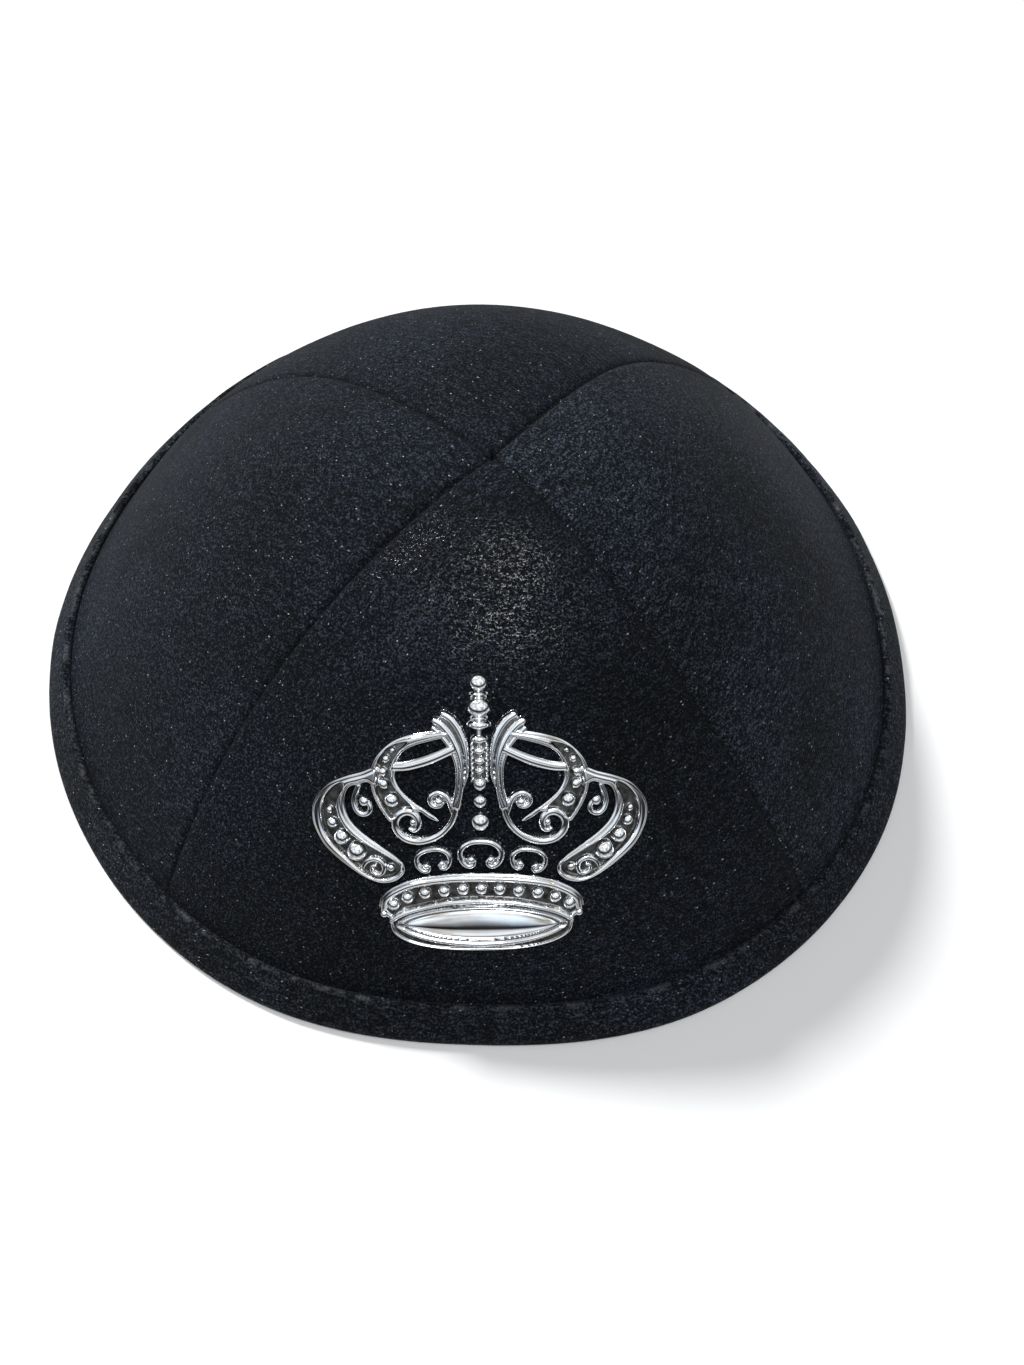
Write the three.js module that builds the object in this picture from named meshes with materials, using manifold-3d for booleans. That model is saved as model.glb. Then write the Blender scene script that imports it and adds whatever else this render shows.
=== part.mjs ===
import * as THREE from 'three';
import { mergeVertices } from 'three/addons/utils/BufferGeometryUtils.js';
import Module from 'manifold-3d';

// A skullcap of four suede panels with a rim band and a chrome crown on its front.
// Sizes are in millimetres and degrees. +Z is up and -Y is the front.

// Cap
const capHeight = 70;
const apexX = 3.0;
const apexY = -4.9;
const hemRadius = 79.6;
const hemHeight = 6.6;
const wallThickness = 1.6;
const seamDip = 0.9;
const seamDipReach = 1.7;
const seamClearance = 0.34;

// The dip at the seams fades out over this last share of the way down to the hem.
const seamDipFade = 0.25;

// Roundness of the dome along a seam and along the middle of a panel.
const seamProfile = { widthPower: 1.88, heightPower: 1.16 };
const middleProfile = { widthPower: 2.37, heightPower: 0.92 };
const profileBlendPower = 2.06;

// The rim is a soft circle: its radius over the nominal one, every 30 degrees from +X.
const rimRatios = [0.984, 0.982, 1.008, 1.010, 1.019, 0.992, 0.999, 0.997, 0.994, 0.973, 1.017, 1.018];

// Each seam runs from the apex to the rim, and bows sideways by so many degrees half way down.
const seams = [
  { azimuth: -43.0, bow: -2.3 },
  { azimuth: 43.6, bow: 7.3 },
  { azimuth: 142.5, bow: -6.4 },
  { azimuth: 224.9, bow: -2.2 },
];
const panelNames = ['panel_right', 'panel_back', 'panel_left', 'panel_front'];

// Shallow dents pressed into the top: centre and half sizes in plan, direction and depth.
const dents = [
  { x: -16, y: -33, halfLength: 15, halfWidth: 5, turn: 8, depth: 0.9 },
  { x: 8, y: -33, halfLength: 13, halfWidth: 8, turn: -20, depth: 0.5 },
];

// Rim band section: the outer leg, the fold under the hem and the leg inside the cap.
const bandSection = [
  { radius: 80.7, height: 7.3 },
  { radius: 82.6, height: 4.9 },
  { radius: 84.3, height: 2.6 },
  { radius: 85.0, height: 1.1 },
  { radius: 84.2, height: 0 },
  { radius: 81.0, height: 0 },
  { radius: 79.2, height: 2.1 },
  { radius: 76.3, height: 6.6 },
  { radius: 74.0, height: 9.0 },
  { radius: 75.0, height: 9.3 },
  { radius: 77.2, height: 6.7 },
  { radius: 80.4, height: 1.2 },
  { radius: 83.1, height: 2.0 },
  { radius: 81.5, height: 4.5 },
  { radius: 79.95, height: 6.65 },
];

// The hem of each panel goes down into the fold of the rim band.
const hemRows = [
  { radius: 80.9, height: 4.6 },
  { radius: 82.3, height: 2.6 },
];
const hemLean = 33;

// Crown
const crownAzimuth = -88.8;
const crownElevation = 30.5;
const crownTilt = -0.1;
const crownSpread = 66;
const crownBack = 0.35;
const rimRise = 1.7;
const floorRise = 0.7;
const wireWidth = 1.15;
const wireRise = 1.35;
const beadSides = 8;

const suede = { color: 0x17181c, roughness: 0.95, metalness: 0 };
const bandSuede = { color: 0x1d1e23, roughness: 0.95, metalness: 0 };
const chrome = { color: 0xc9ccd1, roughness: 0.12, metalness: 1 };

const degrees = Math.PI / 180;
const quarterTurn = Math.PI / 2;
const fullTurn = Math.PI * 2;
const angleTolerance = 1e-9;
const mergeTolerance = 1e-5;

const wasm = await Module();
wasm.setup();

// Dome

function rimRatio(azimuth) {
  const count = rimRatios.length;
  const place = (((azimuth / fullTurn) % 1) + 1) * count;
  const index = Math.floor(place);
  const f = place - index;
  const [a, b, c, d] = [-1, 0, 1, 2].map((step) => rimRatios[(index + step + count) % count]);
  return b + 0.5 * f * (c - a + f * (2 * a - 5 * b + 4 * c - d + f * (3 * (b - c) + d - a)));
}

function profileAt(slope, profile) {
  return {
    reach: Math.sin(slope) ** (2 / profile.widthPower),
    rise: Math.max(Math.cos(slope), 0) ** (2 / profile.heightPower),
  };
}

// The panel that an azimuth lies on, and how far across it, from 0 at one seam to 1 at the next.
function panelAt(azimuth) {
  const first = seams[0].azimuth * degrees;
  const turned = first + ((((azimuth - first) % fullTurn) + fullTurn) % fullTurn);
  for (let index = 0; index < seams.length; index += 1) {
    const start = seams[index];
    const next = seams[(index + 1) % seams.length];
    const startAngle = start.azimuth * degrees;
    const endAngle = next.azimuth * degrees + (index === seams.length - 1 ? fullTurn : 0);
    if (turned <= endAngle + angleTolerance) {
      const across = (turned - startAngle) / (endAngle - startAngle);
      return { across, bow: start.bow + (next.bow - start.bow) * across };
    }
  }
  return null;
}

function dentDepth(x, y) {
  return dents.reduce((sum, dent) => {
    const turn = dent.turn * degrees;
    const along = (x - dent.x) * Math.cos(turn) + (y - dent.y) * Math.sin(turn);
    const beside = (y - dent.y) * Math.cos(turn) - (x - dent.x) * Math.sin(turn);
    return sum + dent.depth * Math.exp(-((along / dent.halfLength) ** 2) - (beside / dent.halfWidth) ** 2);
  }, 0);
}

// A point of the outer surface: slope is 0 at the apex and a quarter turn at the hem.
function domePoint(azimuth, slope) {
  const { across, bow } = panelAt(azimuth);
  const seamShare = Math.abs(2 * across - 1) ** profileBlendPower;
  const seam = profileAt(slope, seamProfile);
  const middle = profileAt(slope, middleProfile);
  const reach = seamShare * seam.reach + (1 - seamShare) * middle.reach;
  const rise = seamShare * seam.rise + (1 - seamShare) * middle.rise;
  const radius = hemRadius * rimRatio(azimuth);
  const turned = azimuth + bow * degrees * Math.sin(Math.PI * Math.min(reach, 1));
  const x = apexX + (radius * Math.cos(turned) - apexX) * reach;
  const y = apexY + (radius * Math.sin(turned) - apexY) * reach;
  const z = hemHeight + (capHeight - hemHeight) * rise;
  return new THREE.Vector3(x, y, z - dentDepth(x, y));
}

function domeNormal(azimuth, slope) {
  const turnStep = 0.02;
  const slopeStep = 0.01;
  const nearEnd = 0.002;
  const low = Math.max(slope - slopeStep, nearEnd);
  const high = Math.min(slope + slopeStep, quarterTurn - nearEnd);
  const alongSlope = domePoint(azimuth, high).sub(domePoint(azimuth, low));
  const around = domePoint(azimuth + turnStep, slope).sub(domePoint(azimuth - turnStep, slope));
  return alongSlope.cross(around).normalize();
}

// Solids from rows of points

function solidGeometry(points, faces) {
  const geometry = new THREE.BufferGeometry();
  geometry.setAttribute('position', new THREE.Float32BufferAttribute(points.flatMap((p) => p.toArray()), 3));
  geometry.setIndex(faces.flat());
  return geometry;
}

function quad(faces, a, b, c, d) {
  faces.push([a, b, c], [a, c, d]);
}

// Columns lie closer together beside the seams, where the surface dips.
const columns = [0, 0.025, 0.08, 0.18, 0.29, 0.4, 0.5, 0.6, 0.71, 0.82, 0.92, 0.975, 1];
const slopeSines = [0.0075, 0.06, 0.16, 0.29, 0.43, 0.56, 0.68, 0.79, 0.88, 0.95, 0.988, 1];
const widestEdge = 0.4;
const flattestSlope = 0.004;

function columnAzimuth(panelIndex, across) {
  const start = seams[panelIndex].azimuth;
  const end = seams[(panelIndex + 1) % seams.length].azimuth + (panelIndex === seams.length - 1 ? 360 : 0);
  return (start + (end - start) * across) * degrees;
}

// One panel: an outer and an inner skin joined round the edges, drawn in from both seams.
function panelGeometry(panelIndex) {
  const outer = [];
  const inner = [];
  const spread = columnAzimuth(panelIndex, 1) - columnAzimuth(panelIndex, 0);
  const halfGap = seamClearance / 2;

  const tip = domePoint(columnAzimuth(panelIndex, 0.5), Math.asin(halfGap / Math.sin(spread / 2) / hemRadius));
  tip.z -= seamDip;
  outer.push(tip);
  inner.push(tip.clone().setZ(tip.z - wallThickness));

  for (const sine of slopeSines) {
    const slope = Math.asin(sine);
    const panelWidth = sine * hemRadius * spread;
    const edge = Math.min(halfGap / panelWidth, widestEdge);
    for (const column of columns) {
      const across = edge + (1 - 2 * edge) * column;
      const azimuth = columnAzimuth(panelIndex, across);
      const fromSeam = Math.min(across, 1 - across) * panelWidth;
      const hemFade = Math.min(1, Math.cos(slope) / seamDipFade);
      const dip = seamDip * hemFade * Math.exp(-((fromSeam / seamDipReach) ** 2));
      const normal = domeNormal(azimuth, Math.max(slope, flattestSlope));
      const point = domePoint(azimuth, slope).addScaledVector(normal, -dip);
      outer.push(point);
      inner.push(point.clone().addScaledVector(normal, -wallThickness));
    }
  }
  for (const row of hemRows) {
    const edge = halfGap / (hemRadius * spread);
    for (const column of columns) {
      const azimuth = columnAzimuth(panelIndex, edge + (1 - 2 * edge) * column);
      const radius = row.radius * rimRatio(azimuth);
      const point = new THREE.Vector3(radius * Math.cos(azimuth), radius * Math.sin(azimuth), row.height);
      const normal = new THREE.Vector3(
        Math.cos(azimuth) * Math.cos(hemLean * degrees),
        Math.sin(azimuth) * Math.cos(hemLean * degrees),
        Math.sin(hemLean * degrees),
      );
      outer.push(point);
      inner.push(point.clone().addScaledVector(normal, -wallThickness));
    }
  }

  const width = columns.length;
  const rowCount = slopeSines.length + hemRows.length;
  const at = (row, column) => 1 + row * width + column;
  const inside = outer.length;
  const faces = [];
  for (let column = 0; column < width - 1; column += 1) {
    faces.push([0, at(0, column), at(0, column + 1)]);
    faces.push([inside, inside + at(0, column + 1), inside + at(0, column)]);
    const last = rowCount - 1;
    quad(faces, at(last, column + 1), at(last, column), inside + at(last, column), inside + at(last, column + 1));
  }
  for (let row = 0; row < rowCount - 1; row += 1) {
    for (let column = 0; column < width - 1; column += 1) {
      quad(faces, at(row, column), at(row + 1, column), at(row + 1, column + 1), at(row, column + 1));
      quad(
        faces,
        inside + at(row, column), inside + at(row, column + 1),
        inside + at(row + 1, column + 1), inside + at(row + 1, column),
      );
    }
    quad(faces, at(row + 1, 0), at(row, 0), inside + at(row, 0), inside + at(row + 1, 0));
    const end = width - 1;
    quad(faces, at(row, end), at(row + 1, end), inside + at(row + 1, end), inside + at(row, end));
  }
  quad(faces, at(0, 0), 0, inside, inside + at(0, 0));
  quad(faces, 0, at(0, width - 1), inside + at(0, width - 1), inside);
  return solidGeometry([...outer, ...inner], faces);
}

// The band is its section carried once round the rim.
function bandGeometry() {
  const azimuths = seams.flatMap((_, index) => columns.slice(0, -1).map((across) => columnAzimuth(index, across)));
  const points = azimuths.flatMap((azimuth) => bandSection.map(({ radius, height }) => {
    const reach = radius * rimRatio(azimuth);
    return new THREE.Vector3(reach * Math.cos(azimuth), reach * Math.sin(azimuth), height);
  }));
  const size = bandSection.length;
  const faces = [];
  azimuths.forEach((_, index) => {
    const here = index * size;
    const next = ((index + 1) % azimuths.length) * size;
    for (let side = 0; side < size; side += 1) {
      const following = (side + 1) % size;
      quad(faces, here + side, here + following, next + following, next + side);
    }
  });
  return solidGeometry(points, faces);
}

// Crown, drawn flat and laid on the dome by lines from a point on the cap's axis.

const crownCentre = new THREE.Vector3(0, 0, hemHeight);
const crownOut = new THREE.Vector3(
  Math.cos(crownElevation * degrees) * Math.cos(crownAzimuth * degrees),
  Math.cos(crownElevation * degrees) * Math.sin(crownAzimuth * degrees),
  Math.sin(crownElevation * degrees),
);
const crownRight = new THREE.Vector3(0, 0, 1).cross(crownOut).normalize()
  .applyAxisAngle(crownOut, crownTilt * degrees);
const crownUp = crownOut.clone().cross(crownRight);

const crownSlopes = { least: 0.05, most: quarterTurn - 0.01 };

// Newton's steps find where the line to a flat point goes through the dome.
function ontoDome(x, y, height) {
  const line = crownOut.clone().multiplyScalar(crownSpread)
    .addScaledVector(crownRight, x).addScaledVector(crownUp, y).normalize();
  const side = new THREE.Vector3(0, 0, 1).cross(line).normalize();
  const above = line.clone().cross(side);
  const miss = (azimuth, slope) => {
    const offset = domePoint(azimuth, slope).sub(crownCentre);
    return [offset.dot(side), offset.dot(above)];
  };
  let azimuth = Math.atan2(line.y, line.x);
  let slope = quarterTurn - Math.asin(line.z);
  const step = 1e-4;
  const rounds = 12;
  for (let round = 0; round < rounds; round += 1) {
    const [m0, m1] = miss(azimuth, slope);
    const [a0, a1] = miss(azimuth + step, slope);
    const [s0, s1] = miss(azimuth, slope + step);
    const [p, q, r, s] = [(a0 - m0) / step, (s0 - m0) / step, (a1 - m1) / step, (s1 - m1) / step];
    const determinant = p * s - q * r;
    azimuth -= (s * m0 - q * m1) / determinant;
    slope = Math.min(Math.max(slope - (p * m1 - r * m0) / determinant, crownSlopes.least), crownSlopes.most);
  }
  return domePoint(azimuth, slope).addScaledVector(domeNormal(azimuth, slope), crownBack + height);
}

function smoothRows(rows, keys, perSpan) {
  const result = [];
  const value = (index, key) => rows[Math.min(Math.max(index, 0), rows.length - 1)][key];
  for (let index = 0; index < rows.length - 1; index += 1) {
    for (let part = 0; part < perSpan; part += 1) {
      const f = part / perSpan;
      const row = {};
      for (const key of keys) {
        const [a, b, c, d] = [-1, 0, 1, 2].map((step) => value(index + step, key));
        row[key] = b + 0.5 * f * (c - a + f * (2 * a - 5 * b + 4 * c - d + f * (3 * (b - c) + d - a)));
      }
      result.push(row);
    }
  }
  result.push({ ...rows[rows.length - 1] });
  return result;
}

// Width that a section's outline is drawn with where its end is divided into triangles.
const endOutlineWidth = 4;

// A moulding between two edges: the section's heights go across from the left edge to the right.
function moulding(rows, section, side = 1) {
  const ring = [{ across: 0, height: 0 }, ...section, { across: 1, height: 0 }];
  const points = rows.flatMap((row) => ring.map(({ across, height }) => ontoDome(
    side * (row.leftX + (row.rightX - row.leftX) * across),
    row.leftY + (row.rightY - row.leftY) * across,
    height * (row.lift ?? 1),
  )));
  const size = ring.length;
  const faces = [];
  for (let index = 0; index < rows.length - 1; index += 1) {
    for (let corner = 0; corner < size; corner += 1) {
      const following = (corner + 1) % size;
      const here = index * size;
      quad(faces, here + corner, here + following, here + size + following, here + size + corner);
    }
  }
  const outline = ring.map(({ across, height }) => new THREE.Vector2(across * endOutlineWidth, height));
  const last = (rows.length - 1) * size;
  for (const [a, b, c] of THREE.ShapeUtils.triangulateShape(outline, [])) {
    const followsRing = THREE.ShapeUtils.isClockWise([outline[a], outline[b], outline[c]]);
    const [first, second, third] = followsRing ? [a, b, c] : [a, c, b];
    faces.push([first, third, second], [last + first, last + second, last + third]);
  }
  return outward(solidGeometry(points, faces));
}

// Turns every face round where the body was made inside out.
function outward(geometry) {
  const position = geometry.getAttribute('position');
  const index = geometry.getIndex().array;
  const corner = [new THREE.Vector3(), new THREE.Vector3(), new THREE.Vector3()];
  let volume = 0;
  for (let place = 0; place < index.length; place += 3) {
    corner.forEach((vertex, offset) => vertex.fromBufferAttribute(position, index[place + offset]));
    volume += corner[0].dot(corner[1].cross(corner[2]));
  }
  if (volume > 0) return geometry;
  const flipped = Array.from(index);
  for (let place = 0; place < flipped.length; place += 3) {
    [flipped[place], flipped[place + 1]] = [flipped[place + 1], flipped[place]];
  }
  geometry.setIndex(flipped);
  return geometry;
}

const channelSection = [
  { across: 0.06, height: 1.2 },
  { across: 0.16, height: rimRise },
  { across: 0.28, height: floorRise },
  { across: 0.72, height: floorRise },
  { across: 0.84, height: rimRise },
  { across: 0.94, height: 1.2 },
];
const wireSection = [
  { across: 0.1, height: 0.9 },
  { across: 0.5, height: wireRise },
  { across: 0.9, height: 0.9 },
];
const featherSection = [
  { across: 0.14, height: 1.5 },
  { across: 0.33, height: 0.9 },
  { across: 0.5, height: 1.7 },
  { across: 0.67, height: 0.9 },
  { across: 0.86, height: 1.5 },
];

const curlNarrowing = 0.75;
const evenWidth = 1;

// A wire along a centre line, as narrow at its end as the given share of its full width.
function wire(line, side = 1, endWidth = curlNarrowing) {
  const rows = line.map((point, index) => {
    const before = line[Math.max(index - 1, 0)];
    const after = line[Math.min(index + 1, line.length - 1)];
    const length = Math.hypot(after.x - before.x, after.y - before.y);
    const share = index / (line.length - 1);
    const half = (wireWidth * (1 - share) + wireWidth * endWidth * share) / 2;
    const offX = -((after.y - before.y) / length) * half;
    const offY = ((after.x - before.x) / length) * half;
    return { leftX: point.x + offX, leftY: point.y + offY, rightX: point.x - offX, rightY: point.y - offY };
  });
  return moulding(rows, wireSection, side);
}

// Points of a spiral from one radius and angle to another.
function spiral({ x, y, fromRadius, toRadius, fromAngle, toAngle, steps }) {
  return Array.from({ length: steps + 1 }, (_, index) => {
    const share = index / steps;
    const angle = (fromAngle + (toAngle - fromAngle) * share) * degrees;
    const radius = fromRadius + (toRadius - fromRadius) * share;
    return { x: x + radius * Math.cos(angle), y: y + radius * Math.sin(angle) };
  });
}

const beadRings = [
  { width: 1, height: 0 },
  { width: 0.8, height: 1.05 },
];
const beadTop = 1.5;

function bead(x, y, radius, side = 1, lift = 0) {
  const points = beadRings.flatMap(({ width, height }) => Array.from({ length: beadSides }, (_, index) => {
    const angle = (index / beadSides) * fullTurn;
    const reach = radius * width;
    return ontoDome(side * x + reach * Math.cos(angle), y + reach * Math.sin(angle), lift + radius * height);
  }));
  points.push(ontoDome(side * x, y, lift), ontoDome(side * x, y, lift + radius * beadTop));
  const bottom = points.length - 2;
  const top = points.length - 1;
  const lastRing = (beadRings.length - 1) * beadSides;
  const faces = [];
  for (let index = 0; index < beadSides; index += 1) {
    const next = (index + 1) % beadSides;
    faces.push([bottom, next, index], [top, lastRing + index, lastRing + next]);
    for (let ring = 0; ring < beadRings.length - 1; ring += 1) {
      const here = ring * beadSides;
      quad(faces, here + index, here + next, here + beadSides + next, here + beadSides + index);
    }
  }
  return outward(solidGeometry(points, faces));
}

function toSolid(geometry) {
  const plain = mergeVertices(geometry, mergeTolerance);
  return new wasm.Manifold(new wasm.Mesh({
    numProp: 3,
    vertProperties: Float32Array.from(plain.getAttribute('position').array),
    triVerts: Uint32Array.from(plain.getIndex().array),
  }));
}

function joined(geometries) {
  const solid = geometries.map(toSolid).reduce((whole, piece) => whole.add(piece));
  const { vertProperties, triVerts } = solid.getMesh();
  const geometry = new THREE.BufferGeometry();
  geometry.setAttribute('position', new THREE.Float32BufferAttribute(Array.from(vertProperties), 3));
  geometry.setIndex(Array.from(triVerts));
  return geometry;
}

// Crown wing: arches, feathers and scrolls of the left half, in the crown's flat frame.

const edgeKeys = ['leftX', 'leftY', 'rightX', 'rightY'];

const outerArch = [
  { leftX: -18.2, leftY: 7.4, rightX: -18.2, rightY: 4.8 },
  { leftX: -21.4, leftY: 6.7, rightX: -21.2, rightY: 4.4 },
  { leftX: -27.2, leftY: 3.8, rightX: -23.6, rightY: 2.9 },
  { leftX: -30.3, leftY: -1.3, rightX: -24.2, rightY: 0.0 },
  { leftX: -29.3, leftY: -6.5, rightX: -22.6, rightY: -3.7 },
  { leftX: -25.6, leftY: -10.7, rightX: -19.2, rightY: -6.4 },
  { leftX: -20.4, leftY: -13.6, rightX: -15.9, rightY: -8.5 },
  { leftX: -15.8, leftY: -14.0, rightX: -14.0, rightY: -9.5 },
  { leftX: -13.2, leftY: -12.1, rightX: -13.1, rightY: -10.5 },
];
const innerArch = [
  { leftX: -6.2, leftY: 15.1, rightX: -5.6, rightY: 13.4 },
  { leftX: -11.2, leftY: 14.2, rightX: -10.4, rightY: 12.5 },
  { leftX: -16.0, leftY: 12.0, rightX: -13.5, rightY: 10.8 },
  { leftX: -18.7, leftY: 7.8, rightX: -14.7, rightY: 8.2 },
  { leftX: -18.6, leftY: 3.4, rightX: -14.0, rightY: 4.6 },
  { leftX: -16.6, leftY: -0.9, rightX: -11.9, rightY: 2.0 },
  { leftX: -12.4, leftY: -2.0, rightX: -9.4, rightY: 0.2 },
  { leftX: -7.3, leftY: -1.8, rightX: -7.0, rightY: -1.4 },
];
const lowerLink = [
  { leftX: -14.9, leftY: 8.5, rightX: -14.9, rightY: 6.9 },
  { leftX: -10.3, leftY: 9.4, rightX: -9.6, rightY: 8.0 },
  { leftX: -6.6, leftY: 11.3, rightX: -5.6, rightY: 9.9 },
  { leftX: -4.2, leftY: 12.9, rightX: -3.4, rightY: 11.2 },
];
const feathers = [
  { leftX: -8.8, leftY: 14.9, rightX: -6.2, rightY: 18.6 },
  { leftX: -6.6, leftY: 13.6, rightX: -4.1, rightY: 16.8 },
  { leftX: -5.2, leftY: 11.5, rightX: -2.6, rightY: 13.6 },
  { leftX: -4.5, leftY: 8.4, rightX: -1.75, rightY: 9.4 },
  { leftX: -4.4, leftY: 5.0, rightX: -1.7, rightY: 5.6 },
  { leftX: -4.9, leftY: 2.0, rightX: -2.9, rightY: 2.2 },
  { leftX: -5.1, leftY: 0.2, rightX: -3.9, rightY: 0.2 },
];
const scrollStem = [
  { x: -4.2, y: 1.4 },
  { x: -4.6, y: -0.7 },
  { x: -5.8, y: -3.0 },
  { x: -7.9, y: -4.8 },
];
const scrollCurl = {
  x: -12.4, y: -2.6, fromRadius: 3.4, toRadius: 1.1, fromAngle: -62, toAngle: -395, steps: 13,
};
const branchStem = [
  { x: -4.6, y: 0.8 },
  { x: -5.2, y: 2.3 },
];
const branchCurl = {
  x: -7.3, y: 2.2, fromRadius: 1.7, toRadius: 0.9, fromAngle: 45, toAngle: 320, steps: 7,
};
const hangingStem = [
  { x: -19.6, y: 4.6 },
  { x: -21.4, y: 3.4 },
];
const hangingCurl = {
  x: -20.3, y: 0.7, fromRadius: 2.1, toRadius: 1.0, fromAngle: 160, toAngle: 400, steps: 7,
};
const endCurl = {
  x: -18.0, y: -11.2, fromRadius: 1.75, toRadius: 0.9, fromAngle: 200, toAngle: -90, steps: 6,
};
const wingBeads = [
  { x: -27.2, y: -1.2, radius: 0.8 },
  { x: -26.5, y: -3.8, radius: 1.0 },
  { x: -24.6, y: -6.2, radius: 1.4 },
  { x: -21.7, y: -8.8, radius: 1.7 },
  { x: -15.2, y: -11.6, radius: 0.8 },
  { x: -15.5, y: 10.6, radius: 0.7 },
  { x: -16.4, y: 8.8, radius: 0.85 },
  { x: -16.7, y: 6.7, radius: 0.95 },
  { x: -16.4, y: 4.4, radius: 1.05 },
  { x: -14.9, y: 1.6, radius: 1.4 },
  { x: -7.3, y: 2.2, radius: 0.65 },
  { x: -20.3, y: 0.7, radius: 0.75 },
];
const beadSeat = 0.25;

function wingGeometry(side) {
  return joined([
    moulding(smoothRows(outerArch, edgeKeys, 2), channelSection, side),
    moulding(smoothRows(innerArch, edgeKeys, 2), channelSection, side),
    moulding(smoothRows(lowerLink, edgeKeys, 2), wireSection, side),
    moulding(smoothRows(feathers, edgeKeys, 2), featherSection, side),
    wire([...scrollStem, ...spiral(scrollCurl)], side),
    wire([...branchStem, ...spiral(branchCurl)], side),
    wire([...hangingStem, ...spiral(hangingCurl)], side),
    wire(spiral(endCurl), side),
    ...wingBeads.map(({ x, y, radius }) => bead(x, y, radius, side, beadSeat)),
  ]);
}

// Column: half round, its width going up and down along the centre line.
const columnRows = [
  { y: 25.5, half: 0.5 },
  { y: 24.9, half: 1.4 },
  { y: 23.8, half: 1.75 },
  { y: 22.8, half: 1.3 },
  { y: 22.3, half: 0.9 },
  { y: 21.6, half: 1.45 },
  { y: 20.9, half: 0.95 },
  { y: 20.3, half: 1.7 },
  { y: 19.1, half: 2.35 },
  { y: 17.9, half: 1.7 },
  { y: 17.3, half: 1.0 },
  { y: 16.0, half: 2.0 },
  { y: 14.7, half: 0.8 },
  { y: 13.3, half: 1.5 },
  { y: 12.2, half: 0.7 },
  { y: 11.1, half: 1.1 },
  { y: 10.2, half: 0.65 },
  { y: 9.3, half: 1.1 },
  { y: 8.4, half: 0.65 },
  { y: 7.6, half: 1.1 },
  { y: 6.5, half: 0.65 },
  { y: 5.1, half: 1.3 },
  { y: 3.9, half: 0.4 },
];
const columnSection = [
  { across: 0.06, height: 0.9 },
  { across: 0.28, height: 1.6 },
  { across: 0.72, height: 1.6 },
  { across: 0.94, height: 0.9 },
];
const columnGirth = 1.6;
const columnLift = { least: 0.35, perGirth: 0.65 };

function columnGeometry() {
  const rows = columnRows.map(({ y, half }) => ({
    leftX: -half,
    leftY: y,
    rightX: half,
    rightY: y,
    lift: columnLift.least + (columnLift.perGirth * half) / columnGirth,
  }));
  return moulding(rows, columnSection);
}

const looseBeads = [
  { y: 2.0, radius: 1.3 },
  { y: -1.7, radius: 1.7 },
];

// C-shaped scrolls: the left half of the wire, the right half being its mirror image.
const smallScroll = [
  { x: -1.5, y: -1.0 },
  { x: -1.2, y: -1.8 },
  { x: -2.0, y: -2.3 },
  { x: -3.0, y: -1.6 },
  { x: -3.25, y: -0.1 },
  { x: -2.6, y: 1.4 },
  { x: -1.4, y: 2.1 },
  { x: 0.0, y: 2.3 },
];
const scrollPlaces = [
  { name: 'crown_scroll_left', x: -8.1, y: -8.9, turn: 12, size: 0.88 },
  { name: 'crown_scroll_centre', x: 0, y: -7.6, turn: 0, size: 1.08 },
  { name: 'crown_scroll_right', x: 8.1, y: -8.9, turn: -12, size: 0.88 },
];
const scrollBall = { radius: 0.75, seat: 0.1 };

function smallScrollGeometry({ x, y, turn, size }) {
  const mirrored = smallScroll.slice(0, -1).reverse().map((point) => ({ x: -point.x, y: point.y }));
  const place = (point) => ({
    x: x + size * (point.x * Math.cos(turn * degrees) - point.y * Math.sin(turn * degrees)),
    y: y + size * (point.x * Math.sin(turn * degrees) + point.y * Math.cos(turn * degrees)),
  });
  const line = [...smallScroll, ...mirrored].map(place);
  const ends = [line[0], line[line.length - 1]];
  return joined([
    wire(line, 1, evenWidth),
    ...ends.map((end) => bead(end.x, end.y, scrollBall.radius, 1, scrollBall.seat)),
  ]);
}

// Base: a beaded band that falls away to both sides, over an oval plate with a raised rim.
const baseHalfWidth = 17.4;
const baseFallPower = 2.6;
const baseUpper = { y: -11.3, fall: 4.9, reach: 1 };
const baseLower = { y: -17.3, fall: 4.0, reach: 0.93 };
const baseRows = [-1, -0.93, -0.8, -0.64, -0.46, -0.24, 0, 0.24, 0.46, 0.64, 0.8, 0.93, 1];
const baseSection = [
  { across: 0.04, height: 1.3 },
  { across: 0.12, height: rimRise },
  { across: 0.24, height: floorRise },
  { across: 0.74, height: floorRise },
  { across: 0.86, height: rimRise },
  { across: 0.96, height: 1.2 },
];
const bandBeads = [-15.0, -12.45, -9.55, -6.3, -3.1, 0, 3.1, 6.3, 9.55, 12.45, 15.0];
const bandBeadRadius = 1.3;
const bandBeadDrop = 2.8;
const studs = { places: [-16.8, 16.8], y: -19.8, radius: 0.95, seat: 0.05 };

const baseFall = (x) => (Math.abs(x) / baseHalfWidth) ** baseFallPower;

function baseBandGeometry() {
  const rows = baseRows.map((share) => {
    const x = share * baseHalfWidth;
    return {
      leftX: x * baseLower.reach,
      leftY: baseLower.y - baseLower.fall * baseFall(x),
      rightX: x * baseUpper.reach,
      rightY: baseUpper.y - baseUpper.fall * baseFall(x),
    };
  });
  return moulding(rows, baseSection);
}

const plate = { y: -22.0, halfWidth: 15.6, halfHeight: 4.6 };
const plateRings = [
  { size: 1, height: 0 },
  { size: 1, height: 0.9 },
  { size: 0.9, height: 1.7 },
  { size: 0.78, height: 0.9 },
  { size: 0.55, height: 1.1 },
];
const plateMiddle = 0.7;
const plateSides = 24;

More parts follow.
